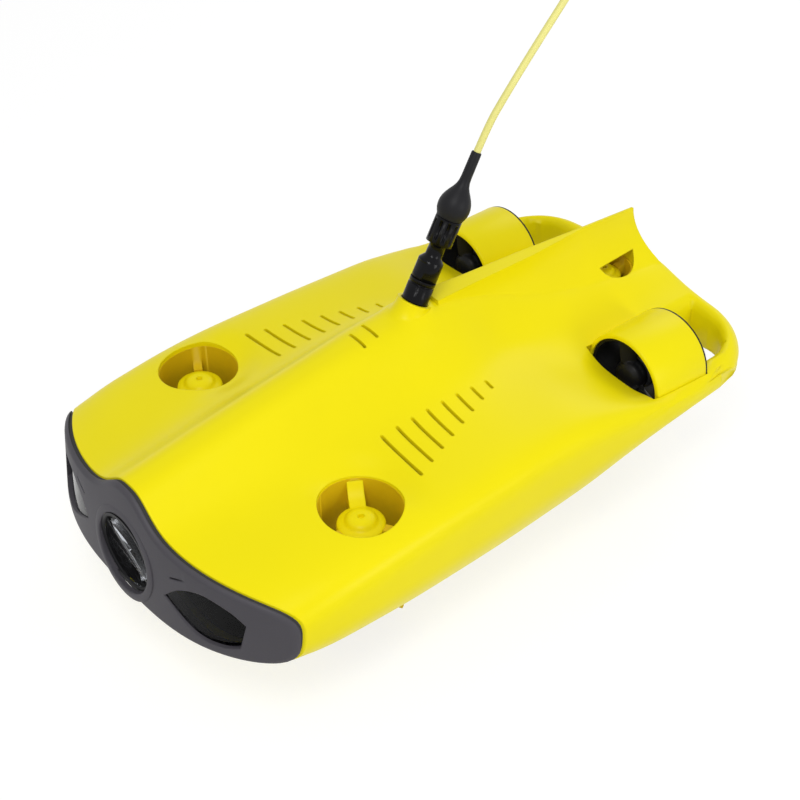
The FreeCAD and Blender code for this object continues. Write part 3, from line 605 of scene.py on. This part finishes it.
def node_copy(node):
    """Merged copy of a CAD node's mesh."""
    bm = bmesh.new()
    bm.from_mesh(frame["nodes"][node].data)
    bmesh.ops.remove_doubles(bm, verts=bm.verts, dist=1e-6)
    return bm


def smooth_copy(node, material):
    """CAD node with smooth curved faces and its own finish."""
    body = frame["nodes"][node]["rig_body"]
    return piece(node + "_finished", node_copy(node), material, body, (node,), 32.0)


# ---------------------------------------------------------------- materials
def new_material(name):
    material = bpy.data.materials.get(name)
    if material:
        return material, None, None
    material = bpy.data.materials.new(name)
    material.use_nodes = True
    nodes = material.node_tree.nodes
    return material, nodes, nodes["Principled BSDF"]


def noise_node(material, scale, detail):
    """Noise on the object's own coordinates, and the node that gives them."""
    nodes = material.node_tree.nodes
    place = nodes.new("ShaderNodeTexCoord")
    noise = nodes.new("ShaderNodeTexNoise")
    noise.inputs["Scale"].default_value = scale
    noise.inputs["Detail"].default_value = detail
    material.node_tree.links.new(place.outputs["Object"], noise.inputs["Vector"])
    return noise, place


def grain(material, nodes, shader, scale, strength, soften):
    """Fine moulded grain, with edges softened in the shading."""
    links = material.node_tree.links
    noise, place = noise_node(material, scale, 4.0)
    bump = nodes.new("ShaderNodeBump")
    bump.inputs["Strength"].default_value = strength
    bump.inputs["Distance"].default_value = 0.0002
    links.new(noise.outputs["Fac"], bump.inputs["Height"])
    if soften:
        bevel = nodes.new("ShaderNodeBevel")
        bevel.samples = 6
        bevel.inputs["Radius"].default_value = soften * MM
        links.new(bevel.outputs["Normal"], bump.inputs["Normal"])
    links.new(bump.outputs["Normal"], shader.inputs["Normal"])
    return noise, place


def varied(material, nodes, shader, colour, shift, scale):
    """Slow, faint change of colour over the surface."""
    links = material.node_tree.links
    cloud, _ = noise_node(material, scale, 2.0)
    ramp = nodes.new("ShaderNodeValToRGB")
    ramp.color_ramp.elements[0].position = 0.3
    ramp.color_ramp.elements[1].position = 0.7
    ramp.color_ramp.elements[0].color = tuple(c * (1 - shift) for c in colour[:3]) + (1,)
    ramp.color_ramp.elements[1].color = tuple(min(c * (1 + shift), 1) for c in colour[:3]) + (1,)
    links.new(cloud.outputs["Fac"], ramp.inputs["Fac"])
    links.new(ramp.outputs["Color"], shader.inputs["Base Color"])


def roughness_cloud(material, nodes, shader, low, high, scale):
    """Roughness that drifts between low and high."""
    links = material.node_tree.links
    cloud, _ = noise_node(material, scale, 3.0)
    span = nodes.new("ShaderNodeMapRange")
    span.inputs["To Min"].default_value = low
    span.inputs["To Max"].default_value = high
    links.new(cloud.outputs["Fac"], span.inputs["Value"])
    links.new(span.outputs["Result"], shader.inputs["Roughness"])


def moulded(name, colour, low, high, grain_scale, grain_strength, soften, shift, level=0.5):
    """Moulded plastic or rubber."""
    material, nodes, shader = new_material(name)
    if nodes:
        varied(material, nodes, shader, colour, shift, 12.0)
        roughness_cloud(material, nodes, shader, low, high, 30.0)
        grain(material, nodes, shader, grain_scale, grain_strength, soften)
        shader.inputs["Specular IOR Level"].default_value = level
    return material


def hull_plastic():
    soften = hull_sizes().edge_round
    return moulded("hull_plastic", finish().hull_colour, 0.30, 0.38, 900.0, 0.08, soften, 0.015, 0.12)


# Darker, more orange copy of the hull's yellow: painted shade for the inside of the ducts.
def duct_plastic():
    return moulded("duct_plastic", (0.72, 0.50, 0.006, 1), 0.40, 0.50, 900.0, 0.10, 0.5, 0.04, 0.15)


def mask_plastic():
    return moulded("mask_plastic", finish().mask_colour, 0.46, 0.56, 1400.0, 0.30, 1.0, 0.06, 0.20)


def black_nylon():
    return moulded("black_nylon", finish().black_colour, 0.36, 0.48, 1200.0, 0.15, 0.3, 0.10, 0.14)


def connector_plastic():
    return moulded("connector_plastic", (0.004, 0.004, 0.005, 1), 0.12, 0.20, 700.0, 0.03, 0.4, 0.10, 0.12)


def boot_rubber():
    return moulded("boot_rubber", (0.014, 0.014, 0.016, 1), 0.40, 0.52, 1500.0, 0.20, 0.5, 0.08, 0.14)


def seal_rubber():
    return moulded("seal_rubber", (0.012, 0.012, 0.012, 1), 0.60, 0.72, 1500.0, 0.25, 0.2, 0.10)


def cable_jacket():
    return moulded("cable_jacket", finish().cable_colour, 0.45, 0.58, 1800.0, 0.20, 0, 0.04)


def motor_resin():
    return moulded("motor_resin", (0.045, 0.045, 0.048, 1), 0.35, 0.50, 500.0, 0.20, 0.3, 0.15)


def board_mask():
    return moulded("board_mask", (0.02, 0.10, 0.05, 1), 0.30, 0.45, 400.0, 0.30, 0, 0.20)


def metal(name, colour, low, high, stretch):
    """Turned or anodised metal with fine tool marks."""
    material, nodes, shader = new_material(name)
    if nodes:
        shader.inputs["Metallic"].default_value = 1.0
        varied(material, nodes, shader, colour, 0.06, 60.0)
        roughness_cloud(material, nodes, shader, low, high, 90.0)
        noise, place = grain(material, nodes, shader, 300.0, 0.08, 0.2)
        links = material.node_tree.links
        mapping = nodes.new("ShaderNodeMapping")
        mapping.inputs["Scale"].default_value = stretch
        links.new(place.outputs["Object"], mapping.inputs["Vector"])
        links.new(mapping.outputs["Vector"], noise.inputs["Vector"])
    return material


def stainless():
    return metal("stainless", (0.62, 0.61, 0.59, 1), 0.22, 0.34, (1, 1, 12))


def anodised():
    return metal("anodised", (0.06, 0.06, 0.065, 1), 0.35, 0.45, (1, 8, 1))


def brass():
    return metal("brass", (0.72, 0.52, 0.22, 1), 0.25, 0.35, (1, 1, 10))


def clear_plastic(name, tint, ior, level):
    """Coated clear plastic window."""
    material, nodes, shader = new_material(name)
    if nodes:
        roughness_cloud(material, nodes, shader, 0.0, 0.03, 80.0)
        varied(material, nodes, shader, tint, 0.04, 40.0)
        shader.inputs["Transmission Weight"].default_value = 1.0
        shader.inputs["IOR"].default_value = ior
        shader.inputs["Specular IOR Level"].default_value = level
    return material


def port_window():
    return clear_plastic("port_window", (0.50, 0.52, 0.56, 1), 1.22, 0.25)


def lamp_window():
    return clear_plastic("lamp_window", (0.14, 0.145, 0.155, 1), 1.16, 0.20)


def coated_glass():
    """Dark front lens with a faint coating."""
    material, nodes, shader = new_material("coated_glass")
    if nodes:
        varied(material, nodes, shader, (0.010, 0.011, 0.016, 1), 0.2, 50.0)
        roughness_cloud(material, nodes, shader, 0.02, 0.05, 80.0)
        shader.inputs["Coat Weight"].default_value = 1.0
        shader.inputs["Coat Roughness"].default_value = 0.02
        shader.inputs["Specular IOR Level"].default_value = 0.8
    return material


# ---------------------------------------------------------------- hull cutters
def cavity_form():
    """Hollow inside the hull, one wall in from its skin."""
    stack = RingStack(hull_sizes().wall)
    rows = hull_sizes().ring_rows
    start = STATIONS[0][0] + 2.0
    end = hull_sizes().cavity_end

    def place(i, j):
        y = start + (end - start) * j / rows
        x, z = stack.at(i, y)
        return shaped(x, y, z)

    return close_ends(mapped_grid(stack.points, rows, place))


def zip_ends(bm, points, place, rows):
    """Closes both open ends of a tube by joining each upper point to the lower point below it."""
    bm.verts.ensure_lookup_table()
    rim = {tuple(round(c, 6) for c in v.co): v for v in bm.verts if v.is_boundary}
    for row in rows:
        loop = []
        for i in range(points):
            at = Vector(place(i, row)) * MM
            key = tuple(round(c, 6) for c in at)
            loop.append(rim.get(key) or min(rim.values(), key=lambda v: (v.co - at).length_squared))
        for i in range(points // 2):
            corners = list(dict.fromkeys([loop[i], loop[i + 1], loop[(points - i - 1) % points], loop[-i]]))
            if len(corners) > 2 and not bm.faces.get(corners):
                bm.faces.new(corners)
    bmesh.ops.recalc_face_normals(bm, faces=bm.faces)
    return bm


def eased(share):
    """Share of the way along the hull, with rows drawn together at the tail's rim."""
    knee, before, after = 0.86, 0.962, 0.038
    if share < knee:
        return before * share / knee
    return 1 - after * (1 - (share - knee) / (1 - knee)) ** 2


def outer_form():
    """Hull form with its raked bow and its rounded tail."""
    stack = RingStack()
    rows = hull_sizes().ring_rows
    front = hull_sizes().mask_gap
    ends = [(stack.solve(i, lambda x, z: bow_line(x, z, front)), stack.solve(i, lambda x, z: tail_line(x)))
            for i in range(stack.points)]

    def place(i, j):
        y = ends[i][0] + (ends[i][1] - ends[i][0]) * eased(j / rows)
        x, z = stack.at(i, y)
        return shaped(x, y, z)

    return zip_ends(mapped_grid(stack.points, rows, place), stack.points, place, (0, rows))


def bow_tube(steps):
    """Tube round the bow with a row for each (inset, setback) step, its points in a row and their places."""
    stacks = [RingStack(inset, BOW_END) for inset, _ in steps]

    def place(i, j):
        y = stacks[j].solve(i, lambda x, z: bow_line(x, z, steps[j][1]))
        x, z = stacks[j].at(i, y)
        return x, y, z

    points = stacks[0].points
    return mapped_grid(points, len(steps) - 1, place), points, place


def mask_form():
    """Plate of the face mask with a rounded rim."""
    stand = hull_sizes().mask_stand
    turns = [math.pi / 2 * k / 5 for k in range(6)]
    steps = [(MASK_STEP, 4.0), (MASK_STEP, -0.2), (0.0, -0.2)]
    steps += [(MASK_ROUND * (1 - math.cos(a)), -stand + MASK_ROUND * (1 - math.sin(a))) for a in turns]
    return zip_ends(*bow_tube(steps), (0, len(steps) - 1))


def gasket_form():
    """Dark band that shows as a line between the mask and the hull."""
    back = hull_sizes().mask_gap + 0.4
    bm, _, _ = bow_tube(((1.2, -0.2), (1.2, back), (2.8, back), (2.8, -0.2), (1.2, -0.2)))
    bmesh.ops.recalc_face_normals(bm, faces=bm.faces)
    return bm


def slot_outline(x0, x1, y, half):
    """Plan outline of a slot with round ends."""
    turns = [-math.pi / 2 + math.pi * k / 6 for k in range(7)]
    right = [(x1 - half + half * math.cos(a), y + half * math.sin(a)) for a in turns]
    left = [(x0 + half - half * math.cos(a), y - half * math.sin(a)) for a in turns]
    return right + left


def side_cutters():
    """Openings of the left side: duct, nozzle and its channel, bumper loop and ever shorter vents."""
    scoop = [(NOZZLE_X - SCOOP_HALF, y, z) for y, z in SCOOP_OUTLINE]
    tools = [bore(DUCT_OPENING, 160, (*DUCT_PLACE, 0)),
             bore(NOZZLE_RADIUS + 0.1, NOZZLE_LENGTH + 5, (NOZZLE_X, NOZZLE_FRONT - 4, NOZZLE_Z), (0, 1, 0)),
             swept(scoop, (2 * SCOOP_HALF, 0, 0)),
             prism(loop_outline(), 20, 150)]
    inner, outer = VENT_SPAN
    for k in range(VENT_COUNT):
        outline = slot_outline(inner, outer - VENT_STEP * k, VENT_FIRST_Y + VENT_PITCH * k, VENT_HALF)
        tools.append(prism(outline, 85, 125))
    return tools


def hull_cutters():
    """All openings of the hull."""
    tools = []
    for _, side in SIDES:
        tools += [to_side(tool, side) for tool in side_cutters()]
    for x, y in DRAIN_SLOTS:
        tools.append(prism(slot_outline(x, x + DRAIN_LENGTH, y, DRAIN_HALF), 108, 150))
    tools.append(bore(REAR_DUCT_OPENING, REAR_DUCT_TOP, (*REAR_DUCT_PLACE, 0), segments=96))
    tools.append(bore(7.7, 30, plug_point(-29), plug_axis(), 96))
    return tools


# ---------------------------------------------------------------- fin and boss
def fin_row(y):
    """Straight run through the fin stations."""
    for lo, hi in zip(FIN_STATIONS, FIN_STATIONS[1:]):
        if y <= hi[0] or hi is FIN_STATIONS[-1]:
            t = (y - lo[0]) / (hi[0] - lo[0])
            return [a + t * (b - a) for a, b in zip(lo, hi)]
    return FIN_STATIONS[-1]


def fin_outline(y):
    """Closed (x, z) outline of the fin: flat top, hollow flanks and a foot below the deck."""
    _, ridge, top_half, foot_half = fin_row(y)
    foot_z = top_height(station_at(min(y, TAIL_Y)), foot_half) - 1.0
    flank = []
    for k in range(13):
        t = k / 12
        x = top_half + (foot_half - top_half) * t ** FIN_HOLLOW
        flank.append((x, ridge - (ridge - foot_z) * (1 - (1 - t) ** FIN_DROP)))
    half = flank + [(foot_half, foot_z - FIN_ROOT)]
    return half + [(-x, z) for x, z in reversed(half)]


def fin_form():
    """Tail fin with its raked rear edge."""
    start = FIN_STATIONS[0][0]
    points = len(fin_outline(start))

    def rear(z):
        share = (FIN_TIP[1] + 1 - z) / (FIN_TIP[1] + 1 - FIN_FOOT[1])
        return FIN_TIP[0] + (FIN_FOOT[0] - FIN_TIP[0]) * min(max(share, 0.0), 1.0) ** FIN_SWEEP

    def place(i, j):
        y = start
        for _ in range(6):
            x, z = fin_outline(y)[i]
            y = start + (rear(z) - start) * j / FIN_ROWS
        return x, y, z

    return close_ends(mapped_grid(points, FIN_ROWS, place))


def lamp_outline():
    """Eye-shaped outline of a lamp, pointed towards the camera."""
    inner, outer = LAMP_SPAN
    low, high = LAMP_HEIGHTS
    span = outer - inner
    tip = (inner, low + 0.45 * (high - low))
    upper = [tip, (inner + 0.22 * span, high - 5.5), (inner + 0.52 * span, high),
             (inner + 0.82 * span, high - 3.0), (outer, high - 9.0)]
    lower = [(outer - 2.5, low + 3.5), (inner + 0.74 * span, low), (inner + 0.45 * span, low + 1.0), tip]
    return smooth_run(upper) + smooth_run(lower)[:-1]


def smooth_run(points):
    """Rounded run through the points."""
    steps = 8
    ends = [points[0]] + points + [points[-1]]
    run = []
    for a, b, c, d in zip(ends, ends[1:], ends[2:], ends[3:]):
        for k in range(steps):
            t = k / steps
            run.append(tuple(0.5 * (2 * q + (r - p) * t + (2 * p - 5 * q + 4 * r - u) * t ** 2
                                    + (3 * q - p - 3 * r + u) * t ** 3) for p, q, r, u in zip(a, b, c, d)))
    return run + [points[-1]]


def lamp_prism():
    """Prism through the lamp outline, running aft."""
    front, back = LAMP_REACH
    return swept([(x, front, z) for x, z in lamp_outline()], (0, back - front, 0))


def brow_groove():
    """Thin groove in the mask above a lamp."""
    x, z = BROW_PLACE
    bm = block(-8.0, 8.0, -190.0, bow_line(47.0, 84.0, -BROW_DEPTH), -0.6, 0.6)
    tilt = Matrix.Rotation(math.radians(BROW_TILT), 3, "Y")
    bmesh.ops.rotate(bm, verts=bm.verts, cent=(0, 0, 0), matrix=tilt)
    bmesh.ops.translate(bm, verts=bm.verts, vec=(x * MM, 0, z * MM))
    return bm


def plug_axis():
    """Direction in which the tether's plug leaves its socket."""
    lean = math.radians(SOCKET_LEAN)
    return Vector((0, math.sin(lean), math.cos(lean)))


def plug_point(along):
    """Point on the connector's axis, this far above the boss, in millimetres."""
    return Vector(SOCKET_PLACE) + plug_axis() * along


def boss_form():
    """Flared boss that carries the tether socket."""
    flare = [(BOSS_RADIUS + BOSS_FLARE * (k / 10) ** 2.5, -BOSS_DEPTH * k / 10) for k in range(11)]
    return turned([(0, 0)] + flare + [(0, -BOSS_DEPTH)], plug_point(0), plug_axis(), 96)


# ---------------------------------------------------------------- operators
class VEHICLE_OT_hull(bpy.types.Operator):
    """Moulded upper and lower hull shells"""
    bl_idname = "vehicle.hull"
    bl_label = "Hull shells"

    def execute(self, context):
        sizes = hull_sizes()
        hull = loose_object("hull_form", outer_form())
        combine(hull, [fin_form(), boss_form()], "UNION")
        combine(hull, [cavity_form()] + hull_cutters())
        gap = sizes.seam / 2
        whole = (-160, 160, -260, 260)
        lower = hull.copy()
        lower.data = hull.data.copy()
        context.scene.collection.objects.link(lower)
        combine(hull, [block(*whole, -30, sizes.parting_z + gap)])
        combine(lower, [block(*whole, sizes.parting_z - gap, 220)])
        hull.name = "hull_upper_skin"
        lower.name = "hull_lower_skin"
        dress(hull, hull_plastic(), "hull", ("upper_shell",))
        dress(lower, hull_plastic(), "hull", ("lower_shell",))
        # Black screens under the vents: painted shade that darkens the slots.
        for name, side in SIDES:
            screen = to_side(block(*VENT_SHADE_SCREEN), side)
            piece("vent_screen_" + name, screen, black_nylon(), "hull")
        return {"FINISHED"}


class VEHICLE_OT_mask(bpy.types.Operator):
    """Grey face mask with its camera and lamp openings"""
    bl_idname = "vehicle.mask"
    bl_label = "Face mask"

    def execute(self, context):
        mask = loose_object("face_mask_skin", mask_form())
        tools = [bore(PORT_RADIUS, 60, (0, -200.0, CAMERA_Z), (0, 1, 0))]
        for _, side in SIDES:
            tools += [to_side(lamp_prism(), side), to_side(brow_groove(), side)]
        combine(mask, tools)
        dress(mask, mask_plastic(), "hull", ("face_mask",))
        piece("mask_gasket_band", gasket_form(), seal_rubber(), "hull", ("mask_gasket",))
        front = bow_line(0, CAMERA_Z, -hull_sizes().mask_stand)
        lip = turned(PORT_LIP, (0, front, CAMERA_Z), Vector((0, -1, BOW_RAKE)).normalized(), 128)
        piece("camera_lip", lip, mask_plastic(), "hull")
        return {"FINISHED"}


class VEHICLE_OT_camera_port(bpy.types.Operator):
    """Camera barrel, lens and window"""
    bl_idname = "vehicle.camera_port"
    bl_label = "Camera port"

    def execute(self, context):
        smooth_copy("camera_barrel", black_nylon())
        smooth_copy("camera_lens_body", black_nylon())
        smooth_copy("camera_lens", coated_glass())
        smooth_copy("camera_window", port_window())
        return {"FINISHED"}


class VEHICLE_OT_lamps(bpy.types.Operator):
    """Lamp housings, boards and windows"""
    bl_idname = "vehicle.lamps"
    bl_label = "Lamps"

    def execute(self, context):
        for name, _ in SIDES:
            smooth_copy("lamp_housing_" + name, black_nylon())
            smooth_copy("lamp_board_" + name, black_nylon())
            smooth_copy("lamp_window_" + name, lamp_window())
        return {"FINISHED"}


class VEHICLE_OT_thrusters(bpy.types.Operator):
    """Nozzles, liners, ducts, motors and propellers"""
    bl_idname = "vehicle.thrusters"
    bl_label = "Thrusters"

    def execute(self, context):
        for name, side in SIDES:
            base = (side * NOZZLE_X, NOZZLE_FRONT, NOZZLE_Z)
            shell = turned(rounded(NOZZLE_BORE, NOZZLE_RADIUS, NOZZLE_LENGTH, 1.2), base, (0, 1, 0), 144)
            piece("nozzle_%s_skin" % name, shell, hull_plastic(), "hull", ("nozzle_" + name,))
            trim = turned(NOZZLE_TRIM, base, (0, 1, 0), 144)
            piece("nozzle_%s_rear_trim" % name, trim, black_nylon(), "hull")
            smooth_copy("nozzle_liner_" + name, black_nylon())
            centre = (side * DUCT_PLACE[0], DUCT_PLACE[1])
            self.duct("front_" + name, centre, DUCT_CAP_Z, 1.0, (side * 90 + 60) % 360)
        self.duct("rear", REAR_DUCT_PLACE, REAR_CAP_Z, REAR_CAP_SHARE, None)
        for name in ("left", "right", "front_left", "front_right", "rear"):
            smooth_copy("motor_" + name, motor_resin())
            smooth_copy("propeller_" + name, black_nylon())
        return {"FINISHED"}

    def trim_rim(self, lining, centre):
        """Cuts the lining's rim level with the dished deck round it."""
        rim = []
        below = 1.0
        for turn in (DISH_TURN, DISH_TURN + 120, DISH_TURN - 120):
            a = math.radians(turn)
            x, y = abs(centre[0]) + DUCT_RADIUS * math.cos(a), centre[1] + DUCT_RADIUS * math.sin(a)
            deck = shaped(x, y, top_height(station_at(y), x))[2]
            rim.append(Vector((math.copysign(x, centre[0]), y, deck - below)))
        up = (rim[1] - rim[0]).cross(rim[2] - rim[0])
        up *= math.copysign(1, up.z)
        bm = bmesh.new()
        bm.from_mesh(lining.data)
        everything = bm.verts[:] + bm.edges[:] + bm.faces[:]
        cut = bmesh.ops.bisect_plane(bm, geom=everything, plane_co=rim[0] * MM, plane_no=up.normalized(),
                                     clear_outer=True)
        edges = [e for e in cut["geom_cut"] if isinstance(e, bmesh.types.BMEdge)]
        bmesh.ops.triangle_fill(bm, use_beauty=True, edges=edges)
        bmesh.ops.recalc_face_normals(bm, faces=bm.faces)
        bm.to_mesh(lining.data)
        bm.free()

    def duct(self, name, centre, floor, share, web):
        """Duct lining in a darker, more orange yellow that paints the shade inside the duct, and the cap over
        its motor.
        """
        profile = [(r * share, h) for r, h in HUB_PROFILE]
        lining = loose_object("duct_%s_skin" % name, node_copy("duct_" + name))
        radius = profile[1][0] - 0.1
        combine(lining, [bore(radius, 30, (*centre, floor - 0.01), segments=96)])
        if web is not None:
            self.trim_rim(lining, centre)
        dress(lining, duct_plastic(), "hull", ("duct_" + name,))
        cap = loose_object("motor_cap_" + name, turned(profile, (*centre, floor), (0, 0, 1)))
        if web is not None:
            corners = [(r, -WEB_HALF, floor + h) for r, h in WEB_PROFILE]
            arm = swept(corners, (0, 2 * WEB_HALF, 0))
            turn = Matrix.Rotation(math.radians(web), 3, "Z")
            bmesh.ops.rotate(arm, verts=arm.verts, cent=(0, 0, 0), matrix=turn)
            bmesh.ops.translate(arm, verts=arm.verts, vec=(centre[0] * MM, centre[1] * MM, 0))
            combine(cap, [arm], "UNION")
        dress(cap, hull_plastic(), "hull")


class VEHICLE_OT_inner_parts(bpy.types.Operator):
    """Pressure vessel, electronics, weights, rails and screws"""
    bl_idname = "vehicle.inner_parts"
    bl_label = "Inner parts"

    def execute(self, context):
        finishes = (
            (anodised, "anodised_dark", ("pressure_vessel", "front_end_cap", "rear_end_cap")),
            (seal_rubber, "seal_rubber", ("end_cap_seals",)),
            (black_nylon, "trim_black", ("battery_pack",)),
            (board_mask, "board_green", ("main_board",)),
            (black_nylon, "trim_black", ("front_saddle", "rear_saddle")),
            (motor_resin, "ballast_steel", ("ballast_weights",)),
            (seal_rubber, "seal_rubber", ("belly_rail_left", "belly_rail_right", "keel_pad")),
            (brass, "insert_brass", ("accessory_insert",)),
            (stainless, "stainless", ("shell_screws",)),
        )
        for material, slot, nodes in finishes:
            for node in nodes:
                smooth_copy(node, material())
        return {"FINISHED"}


class VEHICLE_OT_tether(bpy.types.Operator):
    """Tether connector, boot, cable and end fitting"""
    bl_idname = "vehicle.tether"
    bl_label = "Tether"

    def execute(self, context):
        smooth_copy("tether_socket", connector_plastic())
        smooth_copy("coupling_nut", connector_plastic())
        plug = smooth_copy("tether_plug", connector_plastic())
        sleeve = turned(BOOT_PROFILE, plug_point(BOOT_BASE), plug_axis(), 96)
        boot = piece("tether_boot_skin", sleeve, boot_rubber(), "tether_plug_body",
                     ("tether_boot",), 50.0)
        ferrule = smooth_copy("tether_ferrule", stainless())
        eye = smooth_copy("tether_ring", stainless())
        start = plug_point(CABLE_START)
        route = [start] + [Vector((0, y, z)) for y, z in CABLE_ROUTE]
        curve = bpy.data.curves.new("tether_cable_jacket", "CURVE")
        curve.dimensions = "3D"
        curve.bevel_depth = 2.0 * MM
        curve.bevel_resolution = 6
        curve.resolution_u = 24
        curve.use_fill_caps = True
        line = curve.splines.new("NURBS")
        line.points.add(len(route) - 1)
        for point, at in zip(line.points, route):
            point.co = (*(at * MM), 1.0)
        line.order_u = 3
        line.use_endpoint_u = True
        cable = added("tether_cable_jacket", curve)
        curve.materials.append(cable_jacket())
        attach(cable, "tether_plug_body")
        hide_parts("tether_cable")
        return {"FINISHED"}


class VEHICLE_OT_stage(bpy.types.Operator):
    """Floor, lights, sky and camera"""
    bl_idname = "vehicle.stage"
    bl_label = "Studio"

    def execute(self, context):
        settings = context.scene.vehicle_studio
        self.floor()
        self.sky(settings.world_level)
        for name, place, target, size, power in LIGHTS:
            data = bpy.data.lights.new(name, "AREA")
            data.shape = "SQUARE"
            data.size = size
            data.energy = getattr(settings, power)
            lamp = added(name, data)
            lamp.location = place
            lamp.rotation_euler = (Vector(target) - Vector(place)).to_track_quat("-Z", "Y").to_euler()
        self.camera(settings.lens)
        context.scene.view_settings.view_transform = "Standard"
        return {"FINISHED"}

    def floor(self):
        bm = bmesh.new()
        bmesh.ops.create_grid(bm, x_segments=1, y_segments=1, size=6.0)
        floor = shape_object("studio_floor", bm)
        material = bpy.data.materials.new("studio_floor")
        material.use_nodes = True
        nodes = material.node_tree.nodes
        links = material.node_tree.links
        shader = nodes["Principled BSDF"]
        shader.inputs["Roughness"].default_value = 0.9
        shader.inputs["Specular IOR Level"].default_value = 0.0
        shader.inputs["Emission Color"].default_value = (1, 1, 1, 1)
        seen = self.seen_rays(nodes, links)
        tone = nodes.new("ShaderNodeMix")
        tone.data_type = "RGBA"
        tone.inputs["A"].default_value = (0.80, 0.80, 0.80, 1)
        tone.inputs["B"].default_value = (0.32, 0.32, 0.32, 1)
        links.new(seen, tone.inputs["Factor"])
        links.new(tone.outputs["Result"], shader.inputs["Base Color"])
        level = nodes.new("ShaderNodeMath")
        level.operation = "MULTIPLY"
        level.inputs[1].default_value = 0.76
        links.new(seen, level.inputs[0])
        links.new(level.outputs[0], shader.inputs["Emission Strength"])
        floor.data.materials.append(material)

    def sky(self, strength):
        world = bpy.data.worlds.new("studio_sky")
        bpy.context.scene.world = world
        world.use_nodes = True
        nodes = world.node_tree.nodes
        links = world.node_tree.links
        nodes["Background"].inputs["Color"].default_value = (1, 1, 1, 1)
        span = nodes.new("ShaderNodeMapRange")
        span.inputs["To Min"].default_value = strength
        span.inputs["To Max"].default_value = 1.0
        links.new(self.seen_rays(nodes, links), span.inputs["Value"])
        links.new(span.outputs["Result"], nodes["Background"].inputs["Strength"])

    def seen_rays(self, nodes, links):
        """One for rays that show the backdrop: straight, mirrored or through glass."""
        path = nodes.new("ShaderNodeLightPath")
        most = path.outputs["Is Camera Ray"]
        for ray in ("Is Glossy Ray", "Is Transmission Ray"):
            either = nodes.new("ShaderNodeMath")
            either.operation = "MAXIMUM"
            links.new(most, either.inputs[0])
            links.new(path.outputs[ray], either.inputs[1])
            most = either.outputs[0]
        return most

    def camera(self, lens):
        data = bpy.data.cameras.new("camera")
        data.lens = lens
        data.sensor_width = 36.0
        data.clip_start = 0.05
        data.clip_end = 20.0
        camera = added("camera", data)
        swing, tilt, roll = CAMERA_TURNS
        back = Vector((math.sin(swing) * math.cos(tilt), -math.cos(swing) * math.cos(tilt), math.sin(tilt)))
        turn = (-back).to_track_quat("-Z", "Y").to_matrix() @ Matrix.Rotation(roll, 3, "Z")
        camera.matrix_world = Matrix.Translation(CAMERA_PLACE) @ turn.to_4x4()
        bpy.context.scene.camera = camera


class VEHICLE_PT_pieces(bpy.types.Panel):
    """Buttons for the vehicle's pieces"""
    bl_idname = "VEHICLE_PT_pieces"
    bl_label = "Vehicle"
    bl_space_type = "VIEW_3D"
    bl_region_type = "UI"
    bl_category = "Vehicle"

    def draw(self, context):
        column = self.layout.column()
        for operator in OPERATORS:
            column.operator(operator.bl_idname)


OPERATORS = (
    VEHICLE_OT_stage, VEHICLE_OT_tether, VEHICLE_OT_hull, VEHICLE_OT_mask, VEHICLE_OT_camera_port,
    VEHICLE_OT_lamps, VEHICLE_OT_thrusters, VEHICLE_OT_inner_parts)
SETTINGS = (VehicleHullSizes, VehicleFinish, VehicleStudio)
CLASSES = SETTINGS + OPERATORS + (VEHICLE_PT_pieces,)


def register():
    for cls in CLASSES:
        bpy.utils.register_class(cls)
    bpy.types.Scene.vehicle_hull = PointerProperty(type=VehicleHullSizes)
    bpy.types.Scene.vehicle_finish = PointerProperty(type=VehicleFinish)
    bpy.types.Scene.vehicle_studio = PointerProperty(type=VehicleStudio)


def unregister():
    del bpy.types.Scene.vehicle_studio
    del bpy.types.Scene.vehicle_finish
    del bpy.types.Scene.vehicle_hull
    for cls in reversed(CLASSES):
        bpy.utils.unregister_class(cls)


def main():
    register()
    bpy.ops.vehicle.stage()
    bpy.ops.vehicle.tether()
    bpy.ops.vehicle.hull()
    bpy.ops.vehicle.mask()
    bpy.ops.vehicle.camera_port()
    bpy.ops.vehicle.lamps()
    bpy.ops.vehicle.thrusters()
    bpy.ops.vehicle.inner_parts()


if __name__ == "__main__":
    main()
